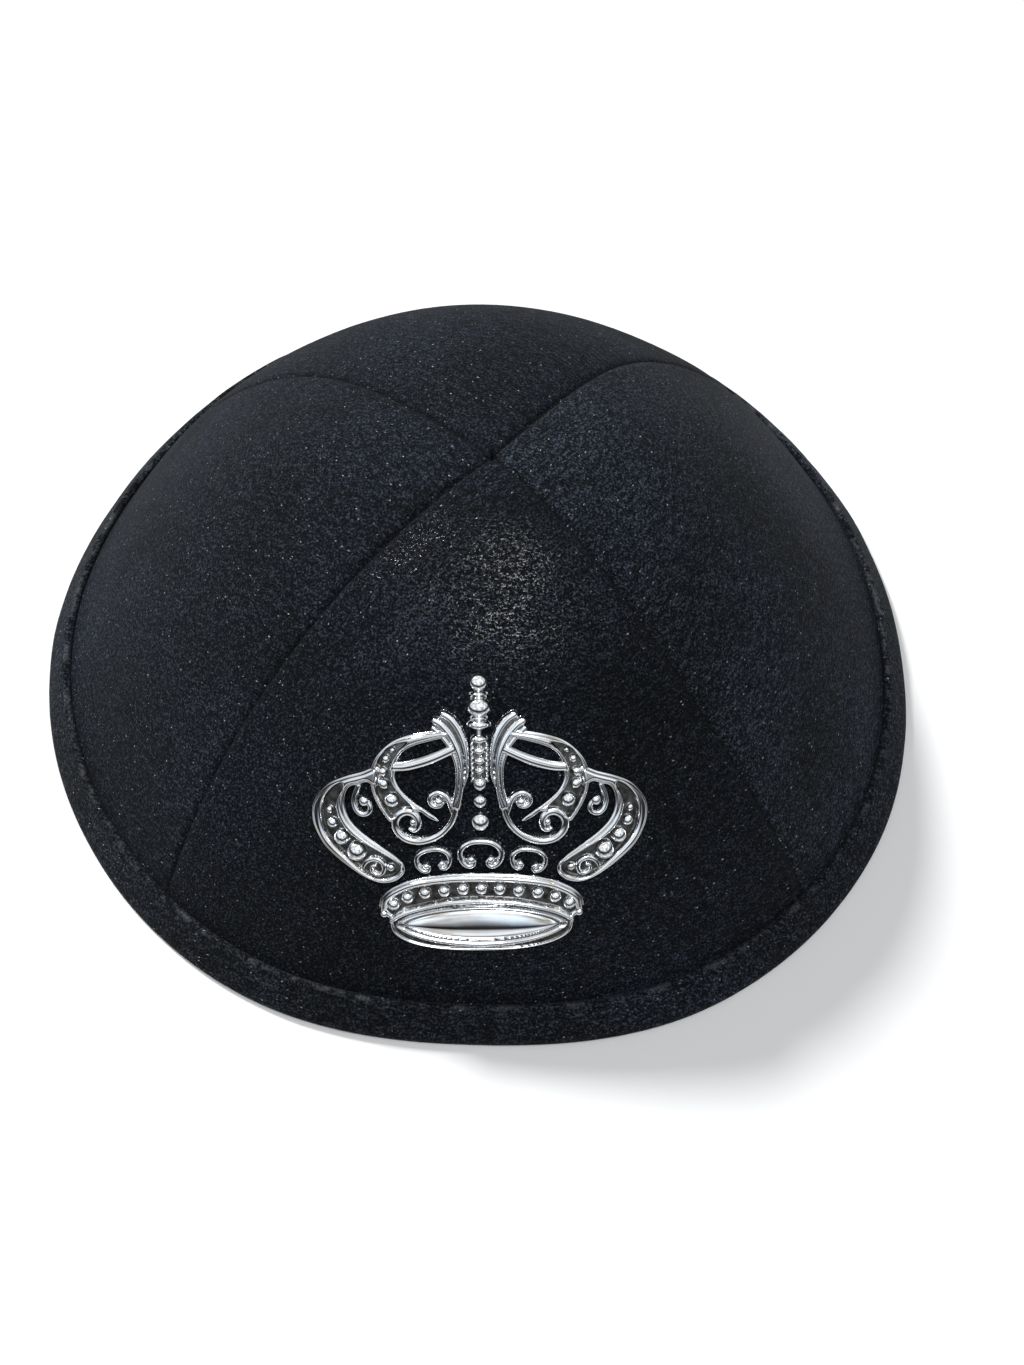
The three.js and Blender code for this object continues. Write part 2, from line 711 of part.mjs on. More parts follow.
function plateGeometry() {
  const points = plateRings.flatMap(({ size, height }) => Array.from({ length: plateSides }, (_, index) => {
    const angle = (index / plateSides) * fullTurn;
    const x = plate.halfWidth * size * Math.cos(angle);
    return ontoDome(x, plate.y + plate.halfHeight * size * Math.sin(angle), height);
  }));
  points.push(ontoDome(0, plate.y, 0), ontoDome(0, plate.y, plateMiddle));
  const bottom = points.length - 2;
  const top = points.length - 1;
  const lastRing = (plateRings.length - 1) * plateSides;
  const faces = [];
  for (let index = 0; index < plateSides; index += 1) {
    const next = (index + 1) % plateSides;
    faces.push([bottom, next, index], [top, lastRing + index, lastRing + next]);
    for (let ring = 0; ring < plateRings.length - 1; ring += 1) {
      const here = ring * plateSides;
      quad(faces, here + index, here + next, here + plateSides + next, here + plateSides + index);
    }
  }
  return outward(solidGeometry(points, faces));
}

function baseGeometry() {
  const beadLine = (x) => baseUpper.y - bandBeadDrop - baseUpper.fall * baseFall(x);
  return joined([
    baseBandGeometry(),
    plateGeometry(),
    ...bandBeads.map((x) => bead(x, beadLine(x), bandBeadRadius, 1, beadSeat)),
    ...studs.places.map((x) => bead(x, studs.y, studs.radius, 1, studs.seat)),
  ]);
}

// Assembly

function piece(name, geometry, look) {
  const mesh = new THREE.Mesh(geometry, new THREE.MeshStandardMaterial(look));
  mesh.name = name;
  return mesh;
}

const cap = new THREE.Group();
panelNames.forEach((name, index) => cap.add(piece(name, panelGeometry(index), suede)));
cap.add(piece('rim_band', bandGeometry(), bandSuede));
cap.add(piece('crown_wing_left', wingGeometry(1), chrome));
cap.add(piece('crown_wing_right', wingGeometry(-1), chrome));
cap.add(piece('crown_column', columnGeometry(), chrome));
looseBeads.forEach(({ y, radius }, index) => {
  cap.add(piece(`crown_bead_${index + 1}`, bead(0, y, radius), chrome));
});
scrollPlaces.forEach((place) => cap.add(piece(place.name, smallScrollGeometry(place), chrome)));
cap.add(piece('crown_base', baseGeometry(), chrome));

// The origin is under the middle of the cap, level with what it rests on.
const extent = new THREE.Box3().setFromObject(cap);
cap.position.set(-(extent.min.x + extent.max.x) / 2, -(extent.min.y + extent.max.y) / 2, -extent.min.z);

const model = new THREE.Group();
model.add(cap);

export default model;
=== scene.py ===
import math

import bpy
import numpy as np
from mathutils import Matrix, Vector


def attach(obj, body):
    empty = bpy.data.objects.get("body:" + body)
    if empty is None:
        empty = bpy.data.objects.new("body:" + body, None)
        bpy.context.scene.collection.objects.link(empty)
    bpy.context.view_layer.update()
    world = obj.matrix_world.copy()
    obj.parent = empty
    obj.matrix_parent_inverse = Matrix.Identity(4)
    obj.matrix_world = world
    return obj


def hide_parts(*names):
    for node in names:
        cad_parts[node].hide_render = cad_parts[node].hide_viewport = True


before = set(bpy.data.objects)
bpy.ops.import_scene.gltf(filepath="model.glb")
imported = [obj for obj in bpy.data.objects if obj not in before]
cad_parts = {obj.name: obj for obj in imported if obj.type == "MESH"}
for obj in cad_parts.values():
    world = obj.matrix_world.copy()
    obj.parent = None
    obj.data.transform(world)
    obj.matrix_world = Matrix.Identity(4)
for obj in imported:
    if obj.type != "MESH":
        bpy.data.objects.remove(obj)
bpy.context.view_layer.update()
print("frame loaded")

mm = 0.001

# Lengths of the shapes are in millimetres and angles in degrees, in the cap's own frame
cap = {
    "height": 70,
    "apex": (3, -4.9),
    "hemRadius": 79.6,
    "hemHeight": 6.6,
    "wall": 1.6,
    "seamPowers": (1.88, 1.16),  # width and height roundness along a seam
    "middlePowers": (2.37, 0.92),  # the same along the middle of a panel
    "seamHold": 2.06,  # the higher, the narrower the part that follows the seam
    "rimRatios": (0.984, 0.982, 1.008, 1.010, 1.019, 0.992, 0.999, 0.997, 0.994, 0.973, 1.017, 1.018),
    "seams": ((-43, -2.3), (43.6, 7.3), (142.5, -6.4), (224.9, -2.2)),  # azimuth, bow
    "origin": (0.565, -1.532),  # moves the middle of the rim to the frame's origin
}
# x, y, half length, half width, turn and depth
dents = ((-16, -33, 15, 5, 8, 0.9), (8, -33, 13, 8, -20, 0.5))


def bend(a, b, c, d, f):
    # the way from b to c at share f, with a before and d after them
    return b + 0.5 * f * (c - a + f * (2 * a - 5 * b + 4 * c - d + f * (3 * (b - c) + d - a)))


def smoothCurve(rows, perSpan, closed=False):
    # a smooth curve through the rows of a table
    rows = np.array(rows, float)
    before, after = (rows[-1:], rows[:2]) if closed else (rows[:1], rows[-1:])
    padded = np.concatenate([before, rows, after])
    f = (np.arange(perSpan) / perSpan)[:, None]
    spans = [bend(*padded[index:index + 4], f) for index in range(len(padded) - 3)]
    return np.concatenate(spans if closed else spans + [rows[-1:]])


def rimRatio(azimuth):
    ratios = np.array(cap["rimRatios"])
    place = (np.asarray(azimuth) / (2 * np.pi)) % 1 * len(ratios)
    index = np.floor(place).astype(int)
    around = [ratios[(index + step) % len(ratios)] for step in (-1, 0, 1, 2)]
    return bend(*around, place - index)


def seamAngles():
    angles = [math.radians(azimuth) for azimuth, bow in cap["seams"]]
    return np.array(angles + [angles[0] + 2 * math.pi])


def acrossPanel(azimuth):
    # the panel that an azimuth lies on, and how far across it, 0 to 1 from seam to seam
    edges = seamAngles()
    turned = edges[0] + (np.asarray(azimuth) - edges[0]) % (2 * np.pi)
    index = np.clip(np.searchsorted(edges, turned, side="right") - 1, 0, 3)
    return index, (turned - edges[index]) / (edges[index + 1] - edges[index])


def dentDepth(x, y):
    total = np.zeros_like(x)
    for dentX, dentY, halfLength, halfWidth, turn, depth in dents:
        cosine, sine = math.cos(math.radians(turn)), math.sin(math.radians(turn))
        along = (x - dentX) * cosine + (y - dentY) * sine
        beside = (y - dentY) * cosine - (x - dentX) * sine
        total += depth * np.exp(-(along / halfLength) ** 2 - (beside / halfWidth) ** 2)
    return total


def domePoint(azimuth, slope):
    # outer surface: slope is 0 at the apex and a quarter turn at the hem
    azimuth, slope = np.broadcast_arrays(np.asarray(azimuth, float), np.asarray(slope, float))
    index, across = acrossPanel(azimuth)
    bows = np.radians([bow for angle, bow in cap["seams"]] + [cap["seams"][0][1]])
    bow = bows[index] + (bows[index + 1] - bows[index]) * across
    share = np.abs(2 * across - 1) ** cap["seamHold"]
    reach, rise = 0, 0
    for part, (width, height) in ((share, cap["seamPowers"]), (1 - share, cap["middlePowers"])):
        reach = reach + part * np.sin(slope) ** (2 / width)
        rise = rise + part * np.maximum(np.cos(slope), 0) ** (2 / height)
    radius = cap["hemRadius"] * rimRatio(azimuth)
    turned = azimuth + bow * np.sin(np.pi * np.minimum(reach, 1))
    apexX, apexY = cap["apex"]
    x = apexX + (radius * np.cos(turned) - apexX) * reach
    y = apexY + (radius * np.sin(turned) - apexY) * reach
    z = cap["hemHeight"] + (cap["height"] - cap["hemHeight"]) * rise
    return np.stack([x, y, z - dentDepth(x, y)], -1)


def domeNormal(azimuth, slope):
    step, margin = 0.01, 0.002
    azimuth, slope = np.broadcast_arrays(np.asarray(azimuth, float), np.asarray(slope, float))
    low = np.maximum(slope - step, margin)
    high = np.minimum(slope + step, np.pi / 2 - margin)
    alongSlope = domePoint(azimuth, high) - domePoint(azimuth, low)
    around = domePoint(azimuth + 2 * step, slope) - domePoint(azimuth - 2 * step, slope)
    normal = np.cross(alongSlope, around)
    return normal / np.linalg.norm(normal, axis=-1, keepdims=True)


def ripple(points, scale, seed, octaves):
    # waves in random directions that are the same on every run, each octave finer and weaker
    finer, weaker, waves, evenOut = 1.9, 0.5, 5, 6
    source = np.random.default_rng(seed)
    total = np.zeros(points.shape[:-1])
    for octave in range(octaves):
        for wave in range(waves):
            direction = source.normal(size=3)
            direction /= np.linalg.norm(direction)
            phase = source.uniform(0, 2 * math.pi)
            place = points @ direction * (2 * math.pi / scale) * finer ** octave
            total += np.sin(place + phase) * weaker ** octave
    return total / evenOut


def makeMesh(name, points, faces, material):
    inFrame = (np.array(points, float) + [*cap["origin"], 0]) * mm
    mesh = bpy.data.meshes.new(name)
    mesh.from_pydata(inFrame.reshape(-1, 3).tolist(), [], faces)
    mesh.validate()
    mesh.update()
    mesh.materials.append(material)
    mesh.polygons.foreach_set("use_smooth", [True] * len(mesh.polygons))
    piece = bpy.data.objects.new(name, mesh)
    bpy.context.collection.objects.link(piece)
    return piece


def addMarks(piece, name, values):
    # a value at each point, for the piece's material
    marks = piece.data.attributes.new(name, "FLOAT", "POINT")
    marks.data.foreach_set("value", np.asarray(values, np.float32))


def gridFaces(rows, columns, start=0, closed=False, flip=False):
    # closed joins the last row and the last column to the first
    faces = []
    for row in range(rows if closed else rows - 1):
        for column in range(columns if closed else columns - 1):
            a = row * columns + column
            b = row * columns + (column + 1) % columns
            face = [start + corner % (rows * columns) for corner in (a, a + columns, b + columns, b)]
            faces.append(face[::-1] if flip else face)
    return faces


# Materials

class Nodes:
    # adds nodes to a material or a world
    def __init__(self, owner):
        owner.use_nodes = True
        self.tree = owner.node_tree

    def feed(self, node, inputs):
        # another node's output is linked, and any other value is set on the socket itself
        for key, value in inputs.items():
            socket = node.inputs[key]
            if isinstance(value, bpy.types.NodeSocket):
                self.tree.links.new(value, socket)
            else:
                socket.default_value = (*value, 1) if socket.type == "RGBA" else value

    def node(self, kind, inputs, **settings):
        node = self.tree.nodes.new("ShaderNode" + kind)
        for key, value in settings.items():
            setattr(node, key, value)
        self.feed(node, inputs)
        return node

    def place(self):
        return self.node("TexCoord", {}).outputs["Object"]

    def mark(self, name):
        return self.node("Attribute", {}, attribute_name=name).outputs["Fac"]

    def ramp(self, source, places, colours):
        node = self.node("ValToRGB", {"Fac": source})
        elements = node.color_ramp.elements
        while len(elements) < len(places):
            elements.new(0.5)
        for element, place, colour in zip(elements, places, colours):
            element.position = place
            element.color = (*colour, 1)
        return node.outputs["Color"]

    def math(self, operation, first, second=0.0):
        return self.node("Math", {0: first, 1: second}, operation=operation).outputs[0]

    def times(self, first, second):
        return self.math("MULTIPLY", first, second)

    def span(self, source, *limits):
        # limits are two values of the source, and the results at them unless these are 0 and 1
        inputs = dict(zip(("From Min", "From Max", "To Min", "To Max"), limits), Value=source)
        return self.node("MapRange", inputs, interpolation_type="SMOOTHSTEP").outputs["Result"]

    def blend(self, kind, factor, first, second):
        inputs = {"Factor": factor, 6: first, 7: second}
        return self.node("Mix", inputs, data_type="RGBA", blend_type=kind).outputs[2]

    def noise(self, place, pattern):
        scale, detail, roughness = pattern
        inputs = {"Vector": place, "Scale": scale, "Detail": detail, "Roughness": roughness}
        return self.node("TexNoise", inputs).outputs["Fac"]

    def grainway(self, place, length, turn):
        # draws a pattern out along the turned x axis
        inputs = {"Vector": place, "Scale": (length, 1, 1), "Rotation": (0, 0, math.radians(turn))}
        return self.node("Mapping", inputs, vector_type="TEXTURE").outputs["Vector"]

    def bump(self, height, strength, depth):
        inputs = {"Height": height, "Strength": strength, "Distance": depth}
        return self.node("Bump", inputs).outputs["Normal"]


def newMaterial(name):
    material = bpy.data.materials.new(name)
    add = Nodes(material)
    return material, add.tree.nodes["Principled BSDF"], add


# A pattern is its number per metre, detail and roughness. A range is two values of what drives it,
# and the result at each of them, if that isn't 0 and 1. Depths of bumps are in metres.
suedeLook = {
    "deep": (0.0004, 0.0006, 0.0011),
    "middle": (0.0026, 0.0037, 0.006),
    "pale": (0.028, 0.0335, 0.0435),
    "shades": (0.43, 0.52, 0.62),  # where deep, middle and pale lie in the height of the nap
    "grain": (2700, 3, 0.62),
    "grainShare": 0.72,
    "stroke": (1500, 3, 0.6),  # short brushed strokes
    "strokeShare": 0.28,
    "strokeLength": 3.2,
    "strokeTurn": 38,  # degrees from the x axis
    "patch": (34, 3, 0.55),  # soft cloudy patches
    "patchStops": (0.34, 0.66),
    "patchTints": ((0.72, 0.74, 0.68), (1.26, 1.3, 1.44)),
    "dust": (0.45, 0.46, 0.48),
    "dustCells": 1450,  # per metre, with one fleck in each
    "dustLength": 2.2,
    "dustFall": 5.5,  # the higher, the fewer white ones
    "dustSize": 0.14,
    "stitches": 2.5,  # radians of the stitches' wave per millimetre of seam
    "stitchRange": (-0.4, 0.7, 0.7, 1),
    "seamShade": (0.0008, 0.001, 0.0014),
    "seamStrength": 0.7,
    "crumple": (950, 3, 0.6),  # small lumps, only as relief
    "crumpleShare": 0.9,
    "bump": 0.7,
    "bumpDepth": 0.0003,
    "roughness": (0.3, 0.7, 0.94, 0.8),
    "sheen": 0.02,
    "sheenRoughness": 0.4,
    "sheenTint": (0.72, 0.8, 0.95),
    "specular": 0.12,
}
bandLook = dict(
    suedeLook,
    middle=(0.005, 0.0066, 0.0096),
    pale=(0.04, 0.0455, 0.056),
    grain=(2300, 3, 0.62),
    stroke=(1100, 3, 0.6),
    strokeTurn=-20.0,
    sheen=0.04,
    worn=(0.06, 0.064, 0.07),
    wornPatch=(260, 3, 0.65),
    wornPatchRange=(0.47, 0.62),
    wornGrainRange=(0.35, 0.6, 0.35, 1),
)
rubbedZone = {
    "centre": (4.5, -28.5, 64),
    "reach": (29, 16, 32),
    "fade": (1.05, 0.3),  # shares of the reach where the gloss starts and is full
    "patch": (150, 3, 0.6),
    "patchRange": (0.4, 0.62, 0.5, 1),
    "crinkle": (1250, 2.5, 0.6),
    "rowLength": 1.9,  # the crinkles are drawn out sideways
    "rowTurn": -6,
    "depth": 0.00032,
    "crease": (0.062, 0.0248),  # levels at the foot and the top of a polished crease
    "lengths": (0.45, 0.54),  # the range of the grain that breaks the creases up
    "tint": (0.84, 0.92, 1),
    "roughness": 0.14,
}


def suedeMaterial(name, look, rubbed=None):
    material, shader, add = newMaterial(name)
    place = add.place()
    grain = add.noise(place, look["grain"])
    stroke = add.noise(add.grainway(place, look["strokeLength"], look["strokeTurn"]), look["stroke"])
    nap = add.math("ADD", add.times(grain, look["grainShare"]), add.times(stroke, look["strokeShare"]))
    colour = add.ramp(nap, look["shades"], (look["deep"], look["middle"], look["pale"]))
    patches = add.ramp(add.noise(place, look["patch"]), look["patchStops"], look["patchTints"])
    colour = add.blend("MULTIPLY", 1.0, colour, patches)
    if "worn" in look:
        # the folded edge is rubbed pale in broken stretches
        stretches = add.span(add.noise(place, look["wornPatch"]), *look["wornPatchRange"])
        rub = add.times(add.mark("edge"), stretches)
        rub = add.times(rub, add.span(grain, *look["wornGrainRange"]))
        colour = add.blend("MIX", rub, colour, look["worn"])

    # along a seam the nap turns down into shadow, deeper at each stitch
    stitch = add.math("SINE", add.times(add.mark("along"), look["stitches"]))
    stitch = add.span(stitch, *look["stitchRange"])
    shade = add.times(add.mark("seam"), add.times(stitch, look["seamStrength"]))
    colour = add.blend("MIX", shade, colour, look["seamShade"])

    # most flecks of dust are faint and a few are white
    dusty = add.grainway(place, look["dustLength"], look["strokeTurn"])
    cells = add.node("TexVoronoi", {"Vector": dusty, "Scale": look["dustCells"]})
    fleck = add.math("LESS_THAN", cells.outputs["Distance"], look["dustSize"])
    chance = add.node("SeparateColor", {"Color": cells.outputs["Color"]}).outputs["Red"]
    dust = add.times(fleck, add.math("POWER", chance, look["dustFall"]))
    lumps = add.times(add.noise(place, look["crumple"]), look["crumpleShare"])
    add.feed(shader, {
        "Base Color": add.blend("MIX", dust, colour, look["dust"]),
        "Roughness": add.span(nap, *look["roughness"]),
        "Normal": add.bump(add.math("ADD", nap, lumps), look["bump"], look["bumpDepth"]),
        "Sheen Weight": look["sheen"],
        "Sheen Roughness": look["sheenRoughness"],
        "Sheen Tint": look["sheenTint"],
        "Specular IOR Level": look["specular"],
    })
    if rubbed:
        # crinkled, glossier skin where the nap is rubbed down, in a soft oval
        centre = np.add(rubbed["centre"], (*cap["origin"], 0)) * mm
        oval = add.node("Mapping", {
            "Vector": place,
            "Location": centre.tolist(),
            "Scale": [reach * mm for reach in rubbed["reach"]],
        }, vector_type="TEXTURE")
        away = add.node("VectorMath", {0: oval.outputs["Vector"]}, operation="LENGTH").outputs["Value"]
        patches = add.span(add.noise(place, rubbed["patch"]), *rubbed["patchRange"])
        fade = add.times(add.span(away, *rubbed["fade"]), patches)
        # only fine winding creases are polished, in short lengths
        rows = add.grainway(place, rubbed["rowLength"], rubbed["rowTurn"])
        crinkle = add.noise(rows, rubbed["crinkle"])
        level = add.math("ABSOLUTE", add.math("SUBTRACT", crinkle, 0.5))
        crease = add.times(add.span(level, *rubbed["crease"]), add.span(grain, *rubbed["lengths"]))
        add.feed(shader, {
            "Coat Weight": add.times(fade, crease),
            "Coat Normal": add.bump(crinkle, 1.0, rubbed["depth"]),
            "Coat Tint": rubbed["tint"],
            "Coat Roughness": rubbed["roughness"],
        })
    return material


chromeLook = {
    "bright": (0.84, 0.85, 0.87),
    "cloudy": (0.7, 0.71, 0.73),
    "sunk": (0.055, 0.051, 0.046),
    "cloud": (190, 4, 0.6),
    "cloudStops": (0.3, 0.6),
    "stain": (700, 3, 0.6),
    "stainRange": (0.3, 0.7, 0.8, 1),
    "roughness": (0.35, 0.75, 0.05, 0.08),
    "sunkRoughness": 0.42,
    "casting": (420, 2, 0.5),  # faint unevenness of the cast metal
    "castingBump": 0.5,
    "castingDepth": 0.00002,
}


def chromeMaterial(look):
    material, shader, add = newMaterial("mirrorChrome")
    place = add.place()
    cloud = add.noise(place, look["cloud"])
    metal = add.ramp(cloud, look["cloudStops"], (look["cloudy"], look["bright"]))
    stain = add.span(add.noise(place, look["stain"]), *look["stainRange"])
    # sunk places are darkened: tarnish on the sunk floors, and painted shade in the grooves between the forms
    sunk = add.mark("sunk")
    dull = add.times(sunk, look["sunkRoughness"])
    casting = add.noise(place, look["casting"])
    add.feed(shader, {
        "Base Color": add.blend("MIX", add.times(sunk, stain), metal, look["sunk"]),
        "Roughness": add.math("MAXIMUM", add.span(cloud, *look["roughness"]), dull),
        "Normal": add.bump(casting, look["castingBump"], look["castingDepth"]),
        "Metallic": 1,
    })
    return material


frontSuede = suedeMaterial("frontSuede", suedeLook, rubbedZone)
# the nap of each panel lies its own way, and each has its own depth of black: the side panels, the right one
# most, are painted lighter to stand in for the light that falls on them
sideSuedePaintedLighter = suedeMaterial("sideSuedePaintedLighter", dict(
    suedeLook, middle=(0.0036, 0.0052, 0.008), pale=(0.033, 0.0385, 0.049), strokeTurn=-35.0))
rightSuedePaintedLighter = suedeMaterial("rightSuedePaintedLighter", dict(
    suedeLook, middle=(0.0068, 0.0092, 0.0132), pale=(0.05, 0.058, 0.072), strokeTurn=60.0))
rimSuede = suedeMaterial("rimSuede", bandLook)
chrome = chromeMaterial(chromeLook)
print("materials ready")

# Panels: fine outer and inner skins of the same sheet, drawn down into grooves at the seams
panelMake = {
    "columns": 140,
    "rows": 116,
    "columnCrowding": 1.35,  # columns lie closer together at the seams
    "rowCrowding": 1.1,  # and rows at the apex
    "halfGap": 0.03,
    "gapShare": 0.3,  # most that the gap takes of a panel's width, near the apex
    "grooveDepth": 0.45,
    "grooveReach": 0.62,
    "groovePower": 1.6,
    "shoulder": 0.1,  # soft rolling-over beside the groove
    "shoulderReach": 2.6,
    "seamLine": 0.4,
    "pucker": 0.035,
    "puckerPitch": 5.5,
    "puckerDrift": (2.2, 17),  # uneven pitch: its strength and its length
    "puckerBeside": (2.5, 3),  # distance from the seam and reach
    "puckerStart": 0.12,  # share of the radius, so that the apex stays smooth
    "sag": 0.28,  # slow unevenness of the sheet
    "sagWaves": (46, 11, 3),  # length, seed and octaves
    "sagFrom": 6,
    "turnedEdge": 5,  # width of the seam allowance that shows through on the inside
    "turnedThickness": 0.5,
    "turnedSharpness": 3,
    "hemFade": 4,
    "hem": ((80.15, 5.8), (80.9, 4.6), (81.6, 3.6), (82.3, 2.6)),
    "hemLean": 33,
}
panelPieces = (
    ("suedeRight", "panel_right", rightSuedePaintedLighter),
    ("suedeBack", "panel_back", sideSuedePaintedLighter),
    ("suedeLeft", "panel_left", sideSuedePaintedLighter),
    ("suedeFront", "panel_front", frontSuede),
)


def bell(distance, reach, power=2):
    return np.exp(-(distance / reach) ** power)


def panelSkins(index):
    make = panelMake
    edges = seamAngles()
    start, spread = edges[index], edges[index + 1] - edges[index]
    even = np.linspace(-1, 1, make["columns"])
    columns = 0.5 + 0.5 * np.sign(even) * (1 - (1 - np.abs(even)) ** make["columnCrowding"])
    sines = np.linspace(0, 1, make["rows"] + 1)[1:] ** make["rowCrowding"]
    slopes = np.arcsin(np.minimum(sines, 1))
    width = sines * cap["hemRadius"] * spread
    edge = np.minimum(make["halfGap"] / width, make["gapShare"])[:, None]
    across = edge + (1 - 2 * edge) * columns[None]
    azimuth = start + spread * across
    slope = np.broadcast_to(slopes[:, None], azimuth.shape)
    normal = domeNormal(azimuth, np.maximum(slope, 0.01))
    base = domePoint(azimuth, slope)
    fromSeam = np.minimum(across, 1 - across) * width[:, None]
    down = slope * cap["hemRadius"]

    groove = make["grooveDepth"] * bell(fromSeam, make["grooveReach"], make["groovePower"])
    shoulder = make["shoulder"] * bell(fromSeam, make["shoulderReach"])
    drift, driftLength = make["puckerDrift"]
    waves = np.sin(down / make["puckerPitch"] * 2 * math.pi + drift * np.sin(down / driftLength + index))
    beside, reach = make["puckerBeside"]
    pucker = make["pucker"] * waves * bell(fromSeam - beside, reach)
    awayFromApex = np.minimum(1, sines / make["puckerStart"])[:, None]
    sag = make["sag"] * ripple(base, *make["sagWaves"]) * np.minimum(1, fromSeam / make["sagFrom"])
    hemFade = np.minimum(1, np.cos(slope) * make["hemFade"])
    lift = (-(groove + shoulder) + pucker * awayFromApex + sag) * hemFade
    outer = base + normal * lift[..., None]
    turned = make["turnedThickness"] / (1 + np.exp((fromSeam - make["turnedEdge"]) * make["turnedSharpness"]))
    inner = outer - normal * (cap["wall"] + turned * hemFade)[..., None]

    hemRows = ((0, len(make["hem"])), (0, 0))
    marks = {
        "seam": np.pad(bell(fromSeam, make["seamLine"]), hemRows, mode="edge"),
        "along": np.pad(down, hemRows, mode="edge"),
    }
    hemAzimuth = start + spread * (edge[-1] + (1 - 2 * edge[-1]) * columns)
    lean = math.radians(make["hemLean"])
    aside, ahead = np.cos(hemAzimuth), np.sin(hemAzimuth)
    out = np.stack([aside * math.cos(lean), ahead * math.cos(lean), np.full_like(aside, math.sin(lean))], -1)
    for radius, height in make["hem"]:
        reach = radius * rimRatio(hemAzimuth)
        row = np.stack([reach * aside, reach * ahead, np.full_like(reach, height)], -1)
        outer = np.concatenate([outer, row[None]])
        inner = np.concatenate([inner, (row - out * cap["wall"])[None]])
    return outer, inner, marks


def panelPiece(index, name, node, look):
    outer, inner, marks = panelSkins(index)
    rows, columns = outer.shape[:2]
    count = rows * columns
    points = np.concatenate([outer.reshape(-1, 3), inner.reshape(-1, 3)])
    faces = gridFaces(rows, columns) + gridFaces(rows, columns, start=count, flip=True)
    for row in range(rows - 1):
        a = row * columns
        b = a + columns - 1
        faces.append((a, count + a, count + a + columns, a + columns))
        faces.append((b, b + columns, count + b + columns, count + b))
    for column in range(columns - 1):
        a = (rows - 1) * columns + column
        faces.append((a, count + a, count + a + 1, a + 1))
        faces.append((column, column + 1, count + column + 1, count + column))
    piece = makeMesh(name, points, faces, look)
    for mark, values in marks.items():
        addMarks(piece, mark, np.tile(values.ravel(), 2))
    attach(piece, "root")
    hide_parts(node)


for index, row in enumerate(panelPieces):
    panelPiece(index, *row)
print("panels sewn")

# Rim band: one strip folded round the hem, a little lumpy, with a raised raw edge on top
band = {
    "section": (
        (79.75, 6.55), (80.1, 7.15), (80.75, 7.35), (81.35, 6.85), (82.6, 5.05), (83.75, 3.4),
        (84.65, 1.95), (85, 1), (84.85, 0.3), (84.3, 0), (82.6, 0), (81.2, 0), (80.5, 0.45), (79.2, 2.1),
        (76.3, 6.6), (74.3, 8.7), (74.1, 9.15), (74.55, 9.45), (75, 9.2), (77.2, 6.7), (80.3, 1.6),
        (81.6, 1.2), (83, 2), (81.4, 4.5),
    ),
    "around": 640,
    "perSpan": 2,
    "outside": 79.6,  # radius past which the strip shows outside the panels
    "lump": 0.14,
    "lumpWaves": (21, 5, 4),  # length, seed and octaves
    "lumpRise": 0.6,
    "lumpFade": 2,
    "edgeHeight": 7.2,
    "edgeReach": 0.9,
    "edgeWave": 0.16,
    "edgeWaves": (11, 8, 3),
    "worn": (79.9, 7.3, 0.15),  # least radius, height and reach of the worn line
}


def bandPiece():
    section = smoothCurve(band["section"], band["perSpan"], closed=True)
    azimuth = np.linspace(0, 2 * np.pi, band["around"], endpoint=False)
    radius = section[None, :, 0] * rimRatio(azimuth)[:, None]
    x, y = radius * np.cos(azimuth)[:, None], radius * np.sin(azimuth)[:, None]
    z = np.broadcast_to(section[None, :, 1], x.shape)
    points = np.stack([x, y, z], -1)
    outside = np.clip((section[:, 0] - band["outside"]) / band["lumpFade"], 0, 1)
    outside = outside * np.clip(section[:, 1] / band["lumpFade"], 0, 1)
    lumps = band["lump"] * ripple(points, *band["lumpWaves"]) * outside[None]
    top = bell(section[:, 1] - band["edgeHeight"], band["edgeReach"]) * (section[:, 0] > band["outside"])
    wave = band["edgeWave"] * ripple(points, *band["edgeWaves"]) * top[None]
    points[..., 0] += np.cos(azimuth)[:, None] * lumps
    points[..., 1] += np.sin(azimuth)[:, None] * lumps
    points[..., 2] += lumps * band["lumpRise"] + wave
    faces = gridFaces(band["around"], len(section), closed=True, flip=True)
    piece = makeMesh("rimBand", points, faces, rimSuede)
    leastRadius, height, reach = band["worn"]
    worn = bell(section[:, 1] - height, reach) * (section[:, 0] > leastRadius)
    addMarks(piece, "edge", np.tile(worn, band["around"]))
    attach(piece, "root")
    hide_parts("rim_band")


bandPiece()
print("rim band folded")

# Crown: each piece is cast relief, a height over a flat drawing that is then laid on the dome.
# The drawing is in millimetres, x to the right and y up, around the middle of the crown.
crown = {
    "azimuth": -88.8,
    "elevation": 30.5,
    "tilt": -0.1,
    "spread": 66,  # distance of the drawing from the point that it is thrown from
    "back": -0.05,
    "narrowing": 0.0007,  # the right side is bent a little tighter and higher
    "lean": 0.0009,
    "leanFrom": 15,
    "step": 0.112,  # spacing of the relief's mesh
    "pull": 1.2,  # most steps that a corner is drawn onto the outline
    "edge": 0.1,  # the outline of a wire or bead lies this far outside it
    "fullness": 0.95,  # rise of a half-round top over its half width
    "webFullness": 0.1,
    "flange": 0.3,  # thin edge that runs round every outline
    "flangeRise": 0.55,  # share of it that stands at the outline itself
    "flangeWidth": 0.25,
    "floor": 0.5,  # height of a sunk floor
    "rim": 1.75,  # height of the ridges round a floor
    "line": (0.3, 0.42, 0.17),  # fine line along a ridge: depth, distance from the edge, reach
    "grooveShadeAndTarnish": 0.03,  # painted groove shade with tarnish: darkness for each unit of hollowness, and the most of it
    "grooveShadeAndTarnishMost": 0.75,
    "tarnishReach": 0.12,  # how far it climbs from a sunk floor
    "margin": 0.4,  # mesh looked at round each form
    "under": -0.45,  # the back lies in the nap
}


